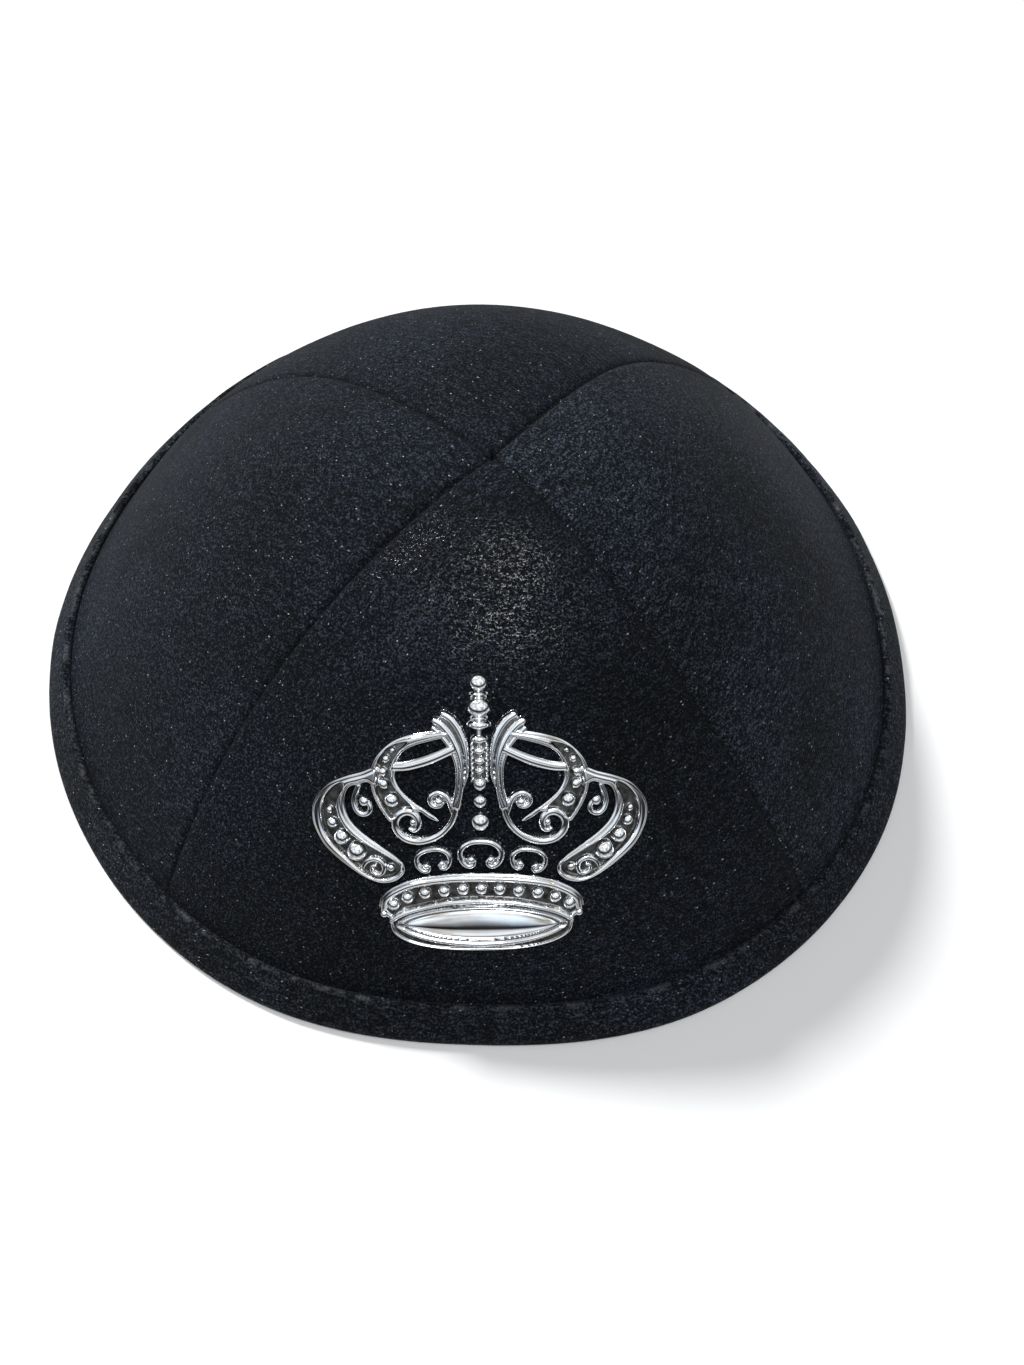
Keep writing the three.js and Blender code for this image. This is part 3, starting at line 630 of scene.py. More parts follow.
def crownAxes():
    # out of the dome, to the right and up, at the middle of the crown
    azimuth, elevation, tilt = (math.radians(crown[key]) for key in ("azimuth", "elevation", "tilt"))
    level = math.cos(elevation)
    out = np.array([level * math.cos(azimuth), level * math.sin(azimuth), math.sin(elevation)])
    right = np.cross([0, 0, 1], out)
    right /= np.linalg.norm(right)
    right = right * math.cos(tilt) + np.cross(out, right) * math.sin(tilt)
    return out, right, np.cross(out, right)


def ontoDome(flat):
    # a few corrections find where each line goes through the dome
    corrections, step = 6, 1e-4
    out, right, up = crownAxes()
    centre = np.array([0, 0, cap["hemHeight"]])
    line = out * crown["spread"] + flat[:, :1] * right + flat[:, 1:2] * up
    line /= np.linalg.norm(line, axis=1, keepdims=True)
    side = np.cross([0, 0, 1], line)
    side /= np.linalg.norm(side, axis=1, keepdims=True)
    above = np.cross(line, side)

    def miss(azimuth, slope):
        offset = domePoint(azimuth, slope) - centre
        return (offset * side).sum(1), (offset * above).sum(1)

    azimuth = np.arctan2(line[:, 1], line[:, 0])
    slope = np.pi / 2 - np.arcsin(line[:, 2])
    for correction in range(corrections):
        m0, m1 = miss(azimuth, slope)
        a0, a1 = miss(azimuth + step, slope)
        s0, s1 = miss(azimuth, slope + step)
        p, q, r, s = (a0 - m0) / step, (s0 - m0) / step, (a1 - m1) / step, (s1 - m1) / step
        determinant = p * s - q * r
        azimuth = azimuth - (s * m0 - q * m1) / determinant
        slope = np.clip(slope - (p * m1 - r * m0) / determinant, 0.05, np.pi / 2 - 0.01)
    height = flat[:, 2:3] + crown["back"]
    return domePoint(azimuth, slope) + domeNormal(azimuth, slope) * height


def nearLine(points, line, widths=None):
    # distance to a line, in shares of its half width where widths are given
    best = np.full(len(points), 1e9)
    for index in range(len(line) - 1):
        start, run = line[index, :2], line[index + 1, :2] - line[index, :2]
        along = np.clip(((points - start) @ run) / max(run @ run, 1e-12), 0, 1)
        gap = np.hypot(*(points - start - along[:, None] * run).T)
        if widths is not None:
            gap = gap / (widths[index] + (widths[index + 1] - widths[index]) * along)
        best = np.minimum(best, gap)
    return best


def insideLoop(points, loop):
    x, y = points.T
    inside = np.zeros(len(points), bool)
    for (x0, y0), (x1, y1) in zip(loop, np.roll(loop, -1, axis=0)):
        if y0 != y1:
            inside ^= ((y0 > y) != (y1 > y)) & (x < x0 + (y - y0) / (y1 - y0) * (x1 - x0))
    return inside


def loopDepth(points, loop):
    # how far inside a closed outline, negative outside
    distance = nearLine(points, np.concatenate([loop, loop[:1]]))
    return np.where(insideLoop(points, loop), distance, -distance)


def rounded(share):
    # quarter-round rise from 0 at the edge to 1
    return np.sqrt(1 - (1 - np.clip(share, 0, 1)) ** 2)


class Relief:
    # heights, depth inside the outline and darkness of sunk places, over a set of flat points
    def __init__(self, points):
        self.points = points
        self.height = np.zeros(len(points))
        self.inside = np.full(len(points), -1.0)
        self.dark = np.zeros(len(points))

    def near(self, places, reach):
        room = reach + crown["margin"]
        low, high = places.min(0) - room, places.max(0) + room
        return np.nonzero(((self.points >= low) & (self.points <= high)).all(1))[0]

    def lay(self, near, height, inside, dark=0.0):
        self.dark[near] = np.where(height > self.height[near], dark, self.dark[near])
        self.height[near] = np.maximum(self.height[near], height)
        self.inside[near] = np.maximum(self.inside[near], inside)

    def wire(self, rows, lift, dark=0.0, fullness=crown["fullness"]):
        # half round on a low plinth; rows hold x, y and half width down the middle line
        line = smoothCurve(rows, perSpan=7)
        near = self.near(line[:, :2], line[:, 2].max())
        share = nearLine(self.points[near], line, line[:, 2])
        width = line[:, 2].mean()
        height = np.where(share < 1, lift + width * fullness * rounded(1 - share), 0)
        self.lay(near, height, (1 - share) * width + crown["edge"], dark)

    def web(self, rows, lift):
        # a nearly flat, dark strip between the forms
        self.wire(rows, lift, 1.0, crown["webFullness"])

    def ball(self, x, y, halfWidth, rise, seat, halfHeight=None):
        halfHeight = halfHeight or halfWidth
        near = self.near(np.array([[x, y]]), max(halfWidth, halfHeight))
        share = np.hypot(*((self.points[near] - [x, y]) / [halfWidth, halfHeight]).T)
        height = np.where(share < 1, seat + rise * np.sqrt(np.maximum(1 - share ** 2, 0)), 0)
        self.lay(near, height, (1 - share) * min(halfWidth, halfHeight) + crown["edge"])

    def tray(self, outline, channel, outerRound, innerRound):
        # a sunk floor inside a ridge that follows the outline, with a fine line along the edge
        outer, inner = (smoothCurve(rows, perSpan=6, closed=True) for rows in (outline, channel))
        near = self.near(outer, 0)
        fromEdge = loopDepth(self.points[near], outer)
        toFloor = -loopDepth(self.points[near], inner)
        ridge = np.minimum(rounded(fromEdge / outerRound), rounded(toFloor / innerRound + 0.1))
        depth, distance, reach = crown["line"]
        height = crown["floor"] + (crown["rim"] - crown["floor"]) * ridge
        height = height - depth * bell(fromEdge - distance, reach)
        height = np.where(toFloor < 0, crown["floor"], height)
        dark = np.where(toFloor < crown["tarnishReach"], 1.0, 0.0)
        self.lay(near, np.where(fromEdge > 0, height, 0), fromEdge, dark)

    def addFlange(self):
        share = np.clip(crown["flangeRise"] + self.inside / crown["flangeWidth"], 0, 1)
        self.height = np.maximum(self.height, crown["flange"] * share)


def squareRound(x, y, room):
    return (x - room, y - room), (x + room, y + room)


def castPiece(name, node, corners, carve, *place, mirrored=False):
    # relief over a square mesh whose outer corners are drawn onto the outline, closed underneath
    step = crown["step"]
    (left, low), (right, high) = corners
    across, up = np.meshgrid(np.arange(left, right, step), np.arange(low, high, step))
    shape = across.shape
    relief = Relief(np.stack([across.ravel(), up.ravel()], -1))
    carve(relief, *place)
    relief.addFlange()
    inside, height = relief.inside.reshape(shape), relief.height.reshape(shape)
    full = inside > 0
    quads = full[:-1, :-1] | full[:-1, 1:] | full[1:, 1:] | full[1:, :-1]
    slopeUp, slopeAcross = np.gradient(inside, step)
    steepness = np.maximum(slopeUp ** 2 + slopeAcross ** 2, 0.2)
    pull = np.clip(np.where(full, 0, -inside) / steepness, 0, step * crown["pull"])
    flat = np.stack([
        across + slopeAcross * pull,
        up + slopeUp * pull,
        np.where(full, height, crown["flange"] * crown["flangeRise"]),
    ], -1).reshape(-1, 3)
    # grooves between the forms are darkened with painted shade, standing in for their occlusion, together
    # with a little tarnish
    padded = np.pad(height, 1, mode="edge")
    around = padded[:-2, 1:-1] + padded[2:, 1:-1] + padded[1:-1, :-2] + padded[1:-1, 2:]
    hollow = (around - 4 * height).ravel() / step ** 2
    dark = np.maximum(relief.dark, np.clip(hollow * crown["grooveShadeAndTarnish"], 0, crown["grooveShadeAndTarnishMost"]))

    order = np.arange(len(flat)).reshape(shape)
    a, b, c, d = order[:-1, :-1], order[:-1, 1:], order[1:, 1:], order[1:, :-1]
    top = np.stack([a, b, c, d], -1)[quads]
    beyond = np.pad(quads, 1)
    neighbours = (beyond[:-2, 1:-1], beyond[1:-1, 2:], beyond[2:, 1:-1], beyond[1:-1, :-2])
    walls = []
    for start, end, neighbour in zip((a, b, c, d), (b, c, d, a), neighbours):
        rim = quads & ~neighbour
        walls.append(np.stack([end[rim], start[rim]], -1))
    used, small = np.unique(top, return_inverse=True)
    number = np.full(len(flat), -1)
    number[used] = np.arange(len(used))
    top = small.reshape(top.shape)
    walls = number[np.concatenate(walls)]
    count = len(used)
    faces = np.concatenate([top, top[:, ::-1] + count, np.concatenate([walls, walls[:, ::-1] + count], 1)])
    flat, dark = flat[used], dark[used]
    flat = np.concatenate([flat, np.concatenate([flat[:, :2], np.full((count, 1), crown["under"])], 1)])
    if mirrored:
        flat[:, 0] *= -1
        faces = faces[:, ::-1]
    x, y = flat[:, 0].copy(), flat[:, 1].copy()
    flat[:, 0] = x - crown["narrowing"] * x ** 2
    flat[:, 1] = y + crown["lean"] * (crown["leanFrom"] - y) * x
    piece = makeMesh(name, ontoDome(flat), faces.tolist(), chrome)
    addMarks(piece, "sunk", np.concatenate([dark, np.ones(count)]))
    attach(piece, "root")
    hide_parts(node)
    print("cast", name, len(faces) * 2, "triangles")


wing = {
    "corners": ((-31.3, -14.8), (-1.2, 19)),
    "outerRounds": (1.1, 0.75),  # width of the ridge's outer and inner slope
    "innerRounds": (1, 0.5),
    "webLift": 0.45,
    "beadRise": 0.85,  # share of the radius
    "beadSeat": 0.7,
    "outerArch": (
        (-17.4, 7.9), (-20.7, 6.65), (-23.8, 5.5), (-26.8, 3.95), (-28.9, 1.75), (-30.1, -0.7),
        (-30.05, -3.3), (-29.2, -5.6), (-27.45, -8.15), (-24.9, -10.2), (-21.9, -12.1), (-19.3, -13.4),
        (-16.9, -13.95), (-14.6, -13.4), (-13, -11.9), (-12.85, -10.3), (-14.2, -8.65), (-17, -6.75),
        (-20.3, -4.55), (-22.5, -2.5), (-23.5, -0.3), (-23.5, 1.9), (-22.7, 3.5), (-21.2, 4.1),
        (-19.6, 4.7), (-18.5, 4.3), (-17.4, 4.4),
    ),
    "outerChannel": (
        (-24.3, 4.15), (-25.9, 3.05), (-27.3, 1.2), (-27.95, -1), (-27.8, -3.5), (-26.9, -5.8),
        (-25.1, -7.7), (-22.6, -9.7), (-20.3, -11.6), (-18.3, -12.75), (-16.2, -12.7), (-14.3, -11.8),
        (-13.6, -10.5), (-14.4, -9.5), (-17.1, -7.9), (-20.3, -6.4), (-22.9, -4.75), (-24.6, -2.5),
        (-25.35, -0.2), (-24.9, 1.9), (-24.1, 3.2),
    ),
    "innerArch": (
        (-5.6, 15.2), (-9, 14.8), (-12.2, 14), (-15, 12.75), (-17.2, 10.75), (-18.5, 8.7), (-18.95, 6.3),
        (-18.75, 3.8), (-17.8, 1.2), (-16.3, -1.1), (-15.2, -2.2), (-13.6, -1.4), (-12, -0.4), (-10.2, 0),
        (-8.8, -0.95), (-7.4, -1.62), (-6.85, -1.45), (-7.5, -0.7), (-9.5, 0.65), (-11.6, 2.25),
        (-13.3, 3.9), (-14.25, 5.8), (-14.3, 7.6), (-13.95, 9.35), (-12.7, 11.05), (-10.6, 12.15),
        (-7.75, 13.05), (-4.9, 13.9),
    ),
    "innerChannel": (
        (-12.45, 12.65), (-14.4, 12.2), (-16, 11.1), (-17.3, 9.3), (-17.95, 7.1), (-17.95, 4.8),
        (-17.2, 2.4), (-16, 0.3), (-14.8, -1.1), (-12.6, -0.3), (-11.4, 0.8), (-13.3, 2.8), (-14.85, 4.8),
        (-15.4, 7), (-15, 8.9), (-14, 10.8), (-12.9, 12),
    ),
    # wires and ribs: x, y and half width down the middle line
    "lowerLink": (
        (-14.6, 8, 1), (-12.6, 8.2, 1.03), (-9.8, 9.05, 1.05), (-7.2, 10.15, 1), (-4.2, 11.7, 0.95),
    ),
    "ribWeb": ((-6.3, 16.2, 0.8), (-4.4, 13.9, 0.95), (-3.3, 10.6, 0.8), (-3.05, 7, 0.6), (-3.5, 3, 0.5)),
    "ribOuter": (
        (-7.8, 15.3, 0.5), (-6.9, 14.4, 0.52), (-5.9, 13.3, 0.5), (-4.95, 11.9, 0.46), (-4.25, 10.2, 0.44),
        (-3.8, 8.4, 0.42), (-3.7, 6.4, 0.4), (-3.8, 4.6, 0.4), (-4.05, 2.9, 0.42), (-4.3, 1.2, 0.5),
    ),
    "ribMiddle": (
        (-7.55, 16.7, 0.62), (-6.35, 15.9, 0.68), (-5, 14.3, 0.66), (-4, 12.4, 0.6), (-3.35, 10.6, 0.54),
        (-3, 8.6, 0.46), (-2.95, 6.6, 0.42), (-3.05, 4.7, 0.4), (-3.3, 3, 0.42), (-3.75, 1.2, 0.55),
    ),
    "ribInner": (
        (-6.05, 17.85, 0.6), (-4.75, 16.95, 0.62), (-3.6, 15.4, 0.6), (-2.8, 13.6, 0.52),
        (-2.3, 11.7, 0.42), (-2.12, 9.6, 0.34), (-2.1, 7.5, 0.3), (-2.35, 6, 0.26), (-2.75, 4.8, 0.2),
    ),
    "scroll": (
        (-4, 1.4, 0.6), (-4.15, 0.2, 0.6), (-4.5, -1, 0.62), (-5.1, -2.25, 0.62), (-6.2, -3.6, 0.62),
        (-7.5, -4.6, 0.64), (-9.1, -5.3, 0.66), (-10.8, -5.6, 0.68), (-12.6, -5.2, 0.7),
        (-13.95, -4.05, 0.72), (-14.45, -2.6, 0.74), (-14.05, -1.2, 0.76), (-13.1, -0.35, 0.78),
        (-12, -0.15, 0.78), (-10.95, -0.7, 0.72), (-10.4, -1.85, 0.64), (-10.55, -2.95, 0.56),
        (-11.2, -3.45, 0.48), (-11.85, -3.15, 0.36),
    ),
    "branch": (
        (-4.5, -0.3, 0.45), (-4.9, 0.9, 0.46), (-5.25, 2, 0.47), (-5.9, 3, 0.48), (-7.1, 3.5, 0.48),
        (-8.15, 3, 0.48), (-8.5, 2.15, 0.47), (-8.2, 1.35, 0.46), (-7.5, 0.98, 0.44), (-6.75, 1.1, 0.42),
        (-6.35, 1.6, 0.4),
    ),
    "hanging": (
        (-21.1, 3.9, 0.55), (-21.5, 2.9, 0.55), (-21.9, 1.8, 0.55), (-21.95, 0.6, 0.55),
        (-21.45, -0.65, 0.54), (-20.55, -1.3, 0.53), (-19.55, -1.15, 0.52), (-18.9, -0.45, 0.52),
        (-18.95, 0.4, 0.5), (-19.4, 1, 0.5),
    ),
    "endSpiral": (
        (-20.3, -12.2, 0.35), (-20.15, -11, 0.42), (-19.4, -9.95, 0.46), (-18.2, -9.45, 0.48),
        (-17, -9.85, 0.46), (-16.5, -10.9, 0.42), (-16.75, -12, 0.38), (-17.6, -12.4, 0.36),
        (-18.55, -11.95, 0.34), (-18.7, -11, 0.32), (-18, -10.65, 0.3),
    ),
    # height of the plinth under each wire, in the order that they are laid
    "lifts": (
        ("lowerLink", 0.5), ("ribOuter", 0.85), ("ribMiddle", 1.05), ("ribInner", 1.0), ("scroll", 0.65),
        ("branch", 0.6), ("hanging", 0.6), ("endSpiral", 0.8),
    ),
    # beads: x, y and radius
    "beads": (
        (-26.65, -1.25, 0.7), (-26.05, -3.55, 1.05), (-24.2, -6, 1.5), (-21.4, -8.35, 1.8),
        (-15.3, -10.85, 0.75), (-15.05, 10.95, 0.52), (-16.2, 9.3, 0.72), (-16.7, 6.9, 0.85),
        (-16.5, 4.65, 0.95), (-15.05, 1.85, 1.35), (-6.95, 1.85, 0.72), (-20.05, 1.15, 0.9),
        (-11.35, -2.05, 0.6),
    ),
}


def carveWing(relief):
    relief.tray(wing["outerArch"], wing["outerChannel"], *wing["outerRounds"])
    relief.tray(wing["innerArch"], wing["innerChannel"], *wing["innerRounds"])
    relief.web(wing["ribWeb"], wing["webLift"])
    for name, lift in wing["lifts"]:
        relief.wire(wing[name], lift)
    for x, y, radius in wing["beads"]:
        relief.ball(x, y, radius, radius * wing["beadRise"], wing["beadSeat"])


castPiece("crownWingLeft", "crown_wing_left", wing["corners"], carveWing)
castPiece("crownWingRight", "crown_wing_right", wing["corners"], carveWing, mirrored=True)

column = {
    "corners": ((-2.6, 3.4), (2.6, 25.8)),
    # y, half width and half height of each turned ball, ring or disc
    "turnings": (
        (23.75, 1.68, 1.6), (21.65, 1.32, 0.42), (20.95, 1.12, 0.36), (19.1, 2.1, 1.75), (17.15, 1.2, 0.4),
        (15.95, 1.85, 0.9), (13.3, 1.32, 0.78), (11.15, 0.95, 0.66), (9.35, 0.88, 0.64), (7.6, 0.85, 0.62),
        (5.1, 1.15, 1.15),
    ),
    "rise": (0.3, 0.55),  # of a turning: least rise, and more for each unit of half width
    "seat": 0.45,
    "stem": ((0, 23, 0.45), (0, 15, 0.42), (0, 6, 0.36)),
    "stemLift": 0.55,
    "web": ((0, 13.2, 0.9), (0, 11.5, 1.45), (0, 6.6, 1.45), (0, 5.2, 1.1)),
    "webLift": 0.3,
    # slanted grains beside the discs
    "grainX": 1.28,
    "grainTop": 12.4,
    "grainPitch": 0.93,
    "grainCount": 8,
    "grainReach": (0.1, 0.22),
    "grainHalfWidth": 0.2,
    "grainLift": 0.6,
}


def carveColumn(relief):
    relief.web(column["web"], column["webLift"])
    relief.wire(column["stem"], column["stemLift"])
    least, more = column["rise"]
    for y, halfWidth, halfHeight in column["turnings"]:
        relief.ball(0, y, halfWidth, least + halfWidth * more, column["seat"], halfHeight)
    reachX, reachY = column["grainReach"]
    width = column["grainHalfWidth"]
    for index in range(column["grainCount"]):
        y = column["grainTop"] - index * column["grainPitch"]
        for side in (-1, 1):
            x = side * column["grainX"]
            ends = (x + side * reachX, y - reachY, width), (x - side * reachX, y + reachY, width)
            relief.wire(ends, column["grainLift"])


castPiece("crownColumn", "crown_column", column["corners"], carveColumn)

looseBead = {
    "rise": 0.8,  # share of the radius
    "seat": 0.35,
    "room": 0.4,
    # piece, node, y and radius
    "places": (("crownBeadUpper", "crown_bead_1", 1.95, 1.2), ("crownBeadLower", "crown_bead_2", -1.8, 1.62)),
}


def carveBead(relief, y, radius):
    relief.ball(0, y, radius, radius * looseBead["rise"], looseBead["seat"])


for name, node, y, radius in looseBead["places"]:
    castPiece(name, node, squareRound(0, y, radius + looseBead["room"]), carveBead, y, radius)

smallScroll = {
    "half": (
        (-0.95, -1.35, 0.3), (-1.15, -1.95, 0.38), (-1.8, -2.3, 0.44), (-2.65, -1.9, 0.46),
        (-3.25, -1, 0.47), (-3.35, 0.1, 0.48), (-2.9, 1.15, 0.48), (-2, 1.85, 0.48), (-1, 2.15, 0.48),
        (0, 2.2, 0.48),
    ),
    "lift": 0.65,
    "ball": (1.55, -1.1, 0.66),
    "ballSeat": 0.6,
    "room": 4.4,
    # piece, node, x, y, turn and size
    "places": (
        ("crownScrollLeft", "crown_scroll_left", -8.1, -9.0, 13, 0.86),
        ("crownScrollCentre", "crown_scroll_centre", 0, -7.7, 0, 1.04),
        ("crownScrollRight", "crown_scroll_right", 8.1, -9.0, -13, 0.86),
    ),
}


def carveScroll(relief, x, y, turn, size):
    cosine, sine = math.cos(math.radians(turn)), math.sin(math.radians(turn))
    spin = np.array([[cosine, sine], [-sine, cosine]])
    half = np.array(smallScroll["half"])
    line = np.concatenate([half, half[-2::-1] * [-1, 1, 1]]) * size
    line[:, :2] = line[:, :2] @ spin + [x, y]
    relief.wire(line, smallScroll["lift"])
    ballX, ballY, radius = smallScroll["ball"]
    for side in (1, -1):
        centre = np.array([side * ballX, ballY]) * size @ spin + [x, y]
        relief.ball(*centre, radius * size, radius, smallScroll["ballSeat"])


for name, node, *place in smallScroll["places"]:
    x, y, turn, size = place
    castPiece(name, node, squareRound(x, y, smallScroll["room"] * size), carveScroll, *place)

base = {
    "corners": ((-18.4, -27.3), (18.4, -10.9)),
    # right half of the band's upper edge, and of the middle line of the ridge under its beads
    "upperEdge": (
        (0, -11.2), (3.7, -11.3), (6.5, -11.6), (9.3, -12.1), (12.05, -12.9), (14.1, -13.9), (15.95, -15.2),
        (17.2, -16.7), (17.6, -18.4),
    ),
    "lowerRidge": (
        (0, -16.5), (5, -16.9), (7.9, -17.55), (10.7, -18.4), (12.75, -19.25), (14.3, -20.2), (15.5, -21.2),
    ),
    "corner": (16.3, -19.1),
    "upperWidth": 1.75,
    "upperLine": (0.25, 0.36, 0.14),  # fine line: depth, distance from the edge, reach
    "lowerHalf": 0.55,
    "lowerShare": 0.92,  # its height beside the upper ridge
    "beads": ((0, -14.3), (3.1, -14.4), (6.3, -14.85), (9.55, -15.4), (12.55, -16.45), (15, -18)),
    "tarnishTo": 0.2,  # share of the ridges' height
    "bead": (1.12, 1.1, 0.6),  # radius, rise and seat
    "stud": (16.75, -20.2, 0.8, 0.9, 0.3),  # x, y, radius, rise and seat
    "studPoint": ((17, -18.9, 0.16), (16.8, -19.8, 0.5), (15.6, -20.6, 0.45)),
    "pointLift": 0.5,
}
plate = {
    "y": -21.9,
    "halfWidth": 15.65,
    "halfHeight": 4.9,
    "squareness": 2.5,
    "edgeLine": (0.45, 0.62, 0.22),  # height, width and softness of the fine line along the edge
    "floor": 0.65,
    "ridge": (1.1, 0.6, 0.5),  # height, and widths of its outer and inner slope
    "ridgeGap": 0.1,  # between the ridge and the boat
    # half width, rise above and fall below the middle, and how blunt the tips are
    "ringInner": (14.7, 4.35, 3.9, 0.62),
    "boat": (13.1, 3.45, 2.75, 0.68),
    "boatY": -21.7,
    "boatSeat": 0.75,
    "boatRise": 1.3,
    "roofShare": 0.22,  # the rest of the boat's rise is rounded
    "roofSoftness": 0.1,
    "bowShare": 0.95,
    "tipFade": 1.1,
    # bare of tarnish: this far inside the boat, this high up the ridge, this near the edge
    "bare": (0.05, 0.25, 0.6),
}


def mirroredLine(rows):
    right = smoothCurve(rows, perSpan=6)
    return np.concatenate([right[::-1], right[1:] * [-1, 1]])


def ovalReach(points, y, halfWidth, rise, fall, power):
    # share of full height left at each x, and how far a point lies inside the pointed oval
    room = np.maximum(1 - (points[:, 0] / halfWidth) ** 2, 0) ** power
    offset = points[:, 1] - y
    reach = np.where(offset > 0, rise, fall) * room
    leaning = 1 / np.sqrt(1 + (points[:, 0] / halfWidth) ** 4)
    return room, (reach - np.abs(offset)) * leaning, 1 - np.abs(offset) / np.maximum(reach, 1e-6)


def carvePlate(relief):
    # fine edge line, groove, broad ridge, groove, and a boat shape in the middle
    points = relief.points
    x, y = points[:, 0], points[:, 1] - plate["y"]
    power = plate["squareness"]
    share = np.abs(x / plate["halfWidth"]) ** power + np.abs(y / plate["halfHeight"]) ** power
    share = np.maximum(share, 1e-6) ** (1 / power)
    toEdge = (1 - share) / share * np.hypot(x, y)
    lineHeight, lineWidth, softness = plate["edgeLine"]
    edgeLine = lineHeight * rounded(toEdge / softness) * rounded((lineWidth - toEdge) / softness)
    inRing = ovalReach(points, plate["y"], *plate["ringInner"])[1]
    room, inBoat, part = ovalReach(points, plate["boatY"], *plate["boat"])
    ridgeHeight, outerSlope, innerSlope = plate["ridge"]
    ridge = np.minimum(rounded(inRing / outerSlope), rounded((-inBoat - plate["ridgeGap"]) / innerSlope))
    # the boat is a low roof with a soft ridge, a little bowed
    soft, roofShare = plate["roofSoftness"], plate["roofShare"]
    roof = (1 - np.sqrt((1 - part) ** 2 + soft ** 2)) / (1 - soft)
    bow = roofShare * roof + (1 - roofShare) * rounded(part * plate["bowShare"])
    bow = bow * np.minimum(room * plate["tipFade"], 1) ** 0.5
    boat = plate["boatSeat"] + plate["boatRise"] * bow
    height = np.where(inBoat > 0, boat, plate["floor"] + np.maximum(edgeLine, ridgeHeight * ridge))
    boatBare, ridgeBare, edgeBare = plate["bare"]
    bare = (inBoat > boatBare) | (ridge > ridgeBare) | (toEdge < edgeBare)
    relief.lay(slice(None), np.where(toEdge > 0, height, 0), toEdge, np.where(bare, 0.0, 1.0))


def carveBeadedBand(relief):
    # a sunk floor between two ridges, with beads on it
    upper, lower = mirroredLine(base["upperEdge"]), mirroredLine(base["lowerRidge"])
    cornerX, cornerY = base["corner"]
    outline = np.concatenate([
        upper, [(-cornerX, cornerY)], lower[::-1] - [0, base["lowerHalf"]], [(cornerX, cornerY)],
    ])
    inBand = loopDepth(relief.points, outline)
    fromTop = nearLine(relief.points, upper)
    half = base["upperWidth"] / 2
    depth, distance, reach = base["upperLine"]
    upperRidge = rounded(1 - np.abs(fromTop - half) / half) - depth * bell(fromTop - distance, reach)
    lowerRidge = rounded(1 - nearLine(relief.points, lower) / base["lowerHalf"])
    ridge = np.maximum(upperRidge, lowerRidge * base["lowerShare"])
    height = crown["floor"] + (crown["rim"] - crown["floor"]) * ridge
    dark = np.where(ridge < base["tarnishTo"], 1.0, 0.0)
    relief.lay(slice(None), np.where(inBand > 0, height, 0), inBand, dark)
    for x, y in base["beads"]:
        for side in ((-1, 1) if x else (1,)):
            relief.ball(side * x, y, *base["bead"])


def carveBase(relief):
    carvePlate(relief)
    carveBeadedBand(relief)
    studX, studY, *stud = base["stud"]
    for side in (-1, 1):
        relief.ball(side * studX, studY, *stud)
        relief.wire(np.array(base["studPoint"]) * [side, 1, 1], base["pointLift"])


castPiece("crownBase", "crown_base", base["corners"], carveBase)
print("crown cast")

# Floor, light and camera
studio = {
    "floor": (0.87, 0.87, 0.875),
    "floorSize": 6,  # this and the lamps' places are in metres
    # what the chrome sees: height of the direction, from straight down to straight up, and light there
    "surroundings": (
        (-1.0, (0.85, 0.85, 0.85)), (-0.55, (0.7, 0.69, 0.68)), (-0.25, (0.42, 0.41, 0.4)),
        (-0.08, (0.16, 0.155, 0.15)), (0.04, (0.02, 0.02, 0.024)), (0.2, (0.025, 0.027, 0.032)),
        (0.33, (0.3, 0.31, 0.33)), (0.5, (0.74, 0.76, 0.79)), (1.0, (0.97, 0.99, 1.0)),
    ),
    "strength": 1.3,
    "screens": (2.6, 1.5, 0.5),  # dark and pale screens around the object, as seen in the metal
    # warm where they are dark, cool where they are pale
    "tints": ((0.36, (0.4, 0.35, 0.28)), (0.5, (0.86, 0.85, 0.83)), (0.62, (1.1, 1.22, 1.32))),
    "softShare": 0.3,  # of that light on matt surfaces
    "backdrop": (0.8, 0.81, 0.82),
    # name, place, aim, sizes and power
    "lamps": (
        ("leftKey", (-1.42, 1.52, 1.95), (0, 0, 0.02), (0.42, 0.42), 79),
        ("overheadSoftbox", (0.24, -0.67, 2.4), (0, -0.02, 0.03), (1.35, 0.68), 28),
    ),
}


def makeFloor():
    half = studio["floorSize"] / 2
    corners = [(-half, -half, 0), (half, -half, 0), (half, half, 0), (-half, half, 0)]
    mesh = bpy.data.meshes.new("paleFloor")
    mesh.from_pydata(corners, [], [(0, 1, 2, 3)])
    floor = bpy.data.objects.new("paleFloor", mesh)
    bpy.context.collection.objects.link(floor)
    material, shader, add = newMaterial("palePaper")
    add.feed(shader, {"Base Color": studio["floor"], "Roughness": 0.9})
    mesh.materials.append(material)
    floor.visible_glossy = False


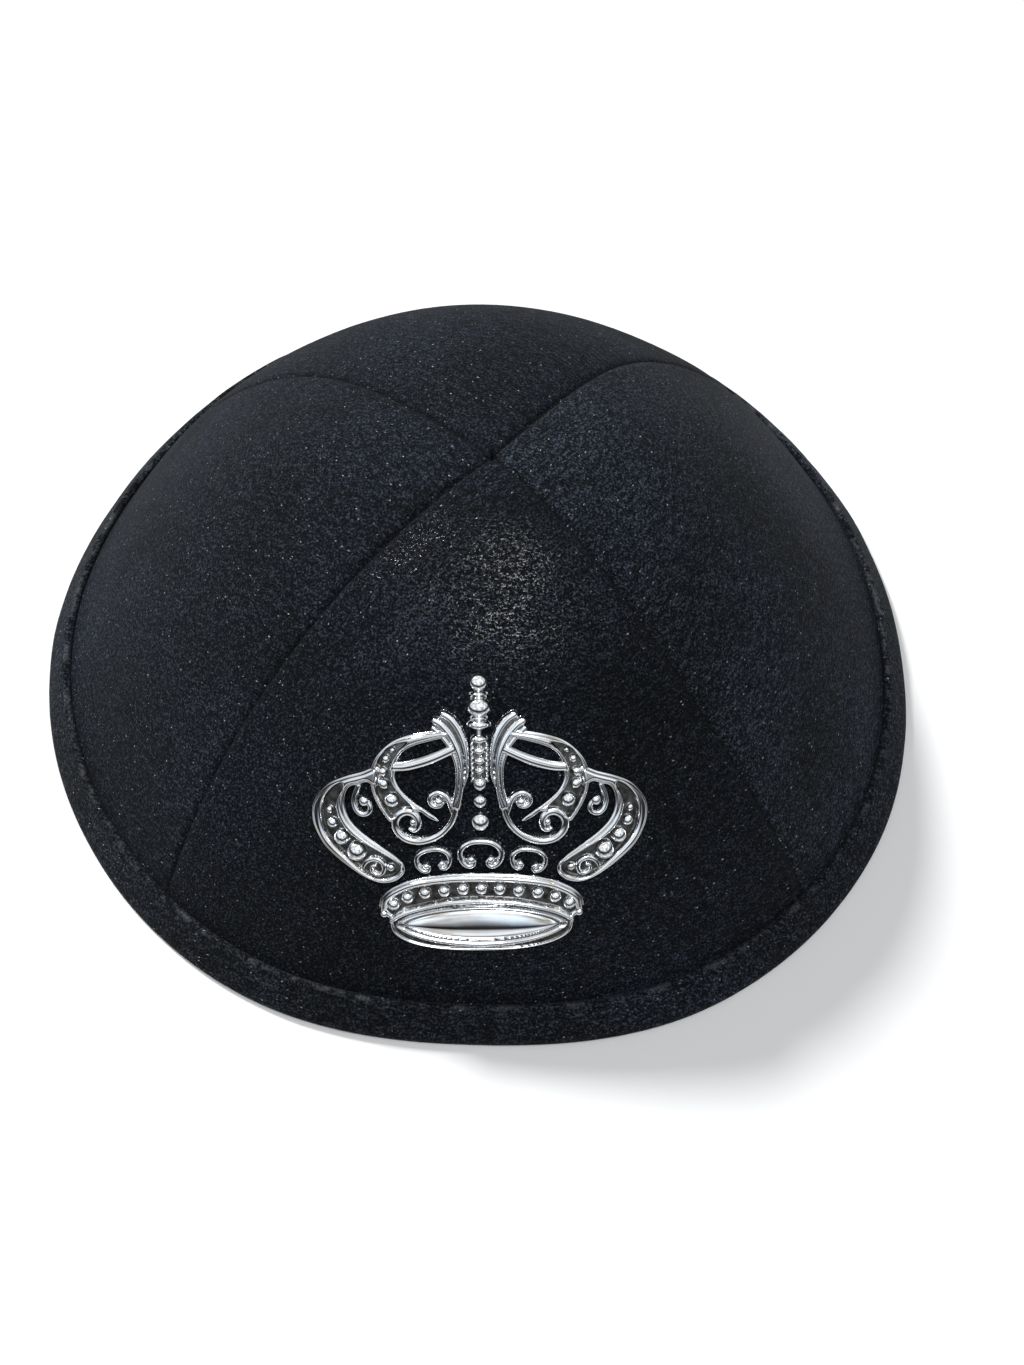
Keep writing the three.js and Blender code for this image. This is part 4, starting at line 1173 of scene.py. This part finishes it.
def makeLamps():
    for name, place, aim, sizes, power in studio["lamps"]:
        data = bpy.data.lights.new(name, "AREA")
        data.shape = "ELLIPSE"
        data.size, data.size_y = sizes
        data.energy = power
        lamp = bpy.data.objects.new(name, data)
        lamp.location = place
        lamp.rotation_euler = (Vector(aim) - Vector(place)).to_track_quat("-Z", "Y").to_euler()
        bpy.context.collection.objects.link(lamp)


def makeSurroundings():
    # a dim room under a pale ceiling, seen by the metal, and a plain backdrop
    world = bpy.data.worlds.new("softStudio")
    add = Nodes(world)
    direction = add.node("TexCoord", {}).outputs["Generated"]
    parts = add.node("SeparateXYZ", {"Vector": direction})
    upward = add.node("MapRange", {"Value": parts.outputs["Z"], "From Min": -1}).outputs["Result"]
    heights, colours = zip(*studio["surroundings"])
    seen = add.ramp(upward, [(height + 1) / 2 for height in heights], colours)
    screens = add.ramp(add.noise(direction, studio["screens"]), *zip(*studio["tints"]))
    seen = add.blend("MULTIPLY", 1.0, seen, screens)
    path = add.node("LightPath", {})
    share = add.span(path.outputs["Is Glossy Ray"], 0, 1, studio["softShare"], 1.0)
    seen = add.blend("MULTIPLY", 1.0, seen, share)
    add.feed(add.tree.nodes["Background"], {
        "Color": add.blend("MIX", path.outputs["Is Camera Ray"], seen, studio["backdrop"]),
        "Strength": studio["strength"],
    })
    bpy.context.scene.world = world
    bpy.context.scene.view_settings.view_transform = "Standard"


view = {
    "target": (6.435, -6.803),  # where the middle of the picture meets the floor
    "distance": 400,
    "elevation": 58.456,
    "roll": 0.164,
    "lens": 53.465,
    "sensor": 36,
}


def makeCamera():
    data = bpy.data.cameras.new("photoCamera")
    data.sensor_fit = "VERTICAL"
    data.sensor_height = view["sensor"]
    data.lens = view["lens"]
    data.clip_start = 0.01
    camera = bpy.data.objects.new("photoCamera", data)
    elevation = math.radians(view["elevation"])
    back = Vector((0, -math.cos(elevation), math.sin(elevation)))
    right = Vector((1, 0, 0))
    target = Vector((*np.add(view["target"], cap["origin"]), 0)) * mm
    turn = Matrix((right, back.cross(right), back)).transposed()
    turn = turn @ Matrix.Rotation(math.radians(view["roll"]), 3, "Z")
    camera.matrix_world = Matrix.Translation(target + back * view["distance"] * mm) @ turn.to_4x4()
    bpy.context.collection.objects.link(camera)
    bpy.context.scene.camera = camera


makeFloor()
makeLamps()
makeSurroundings()
makeCamera()
print("stage set")
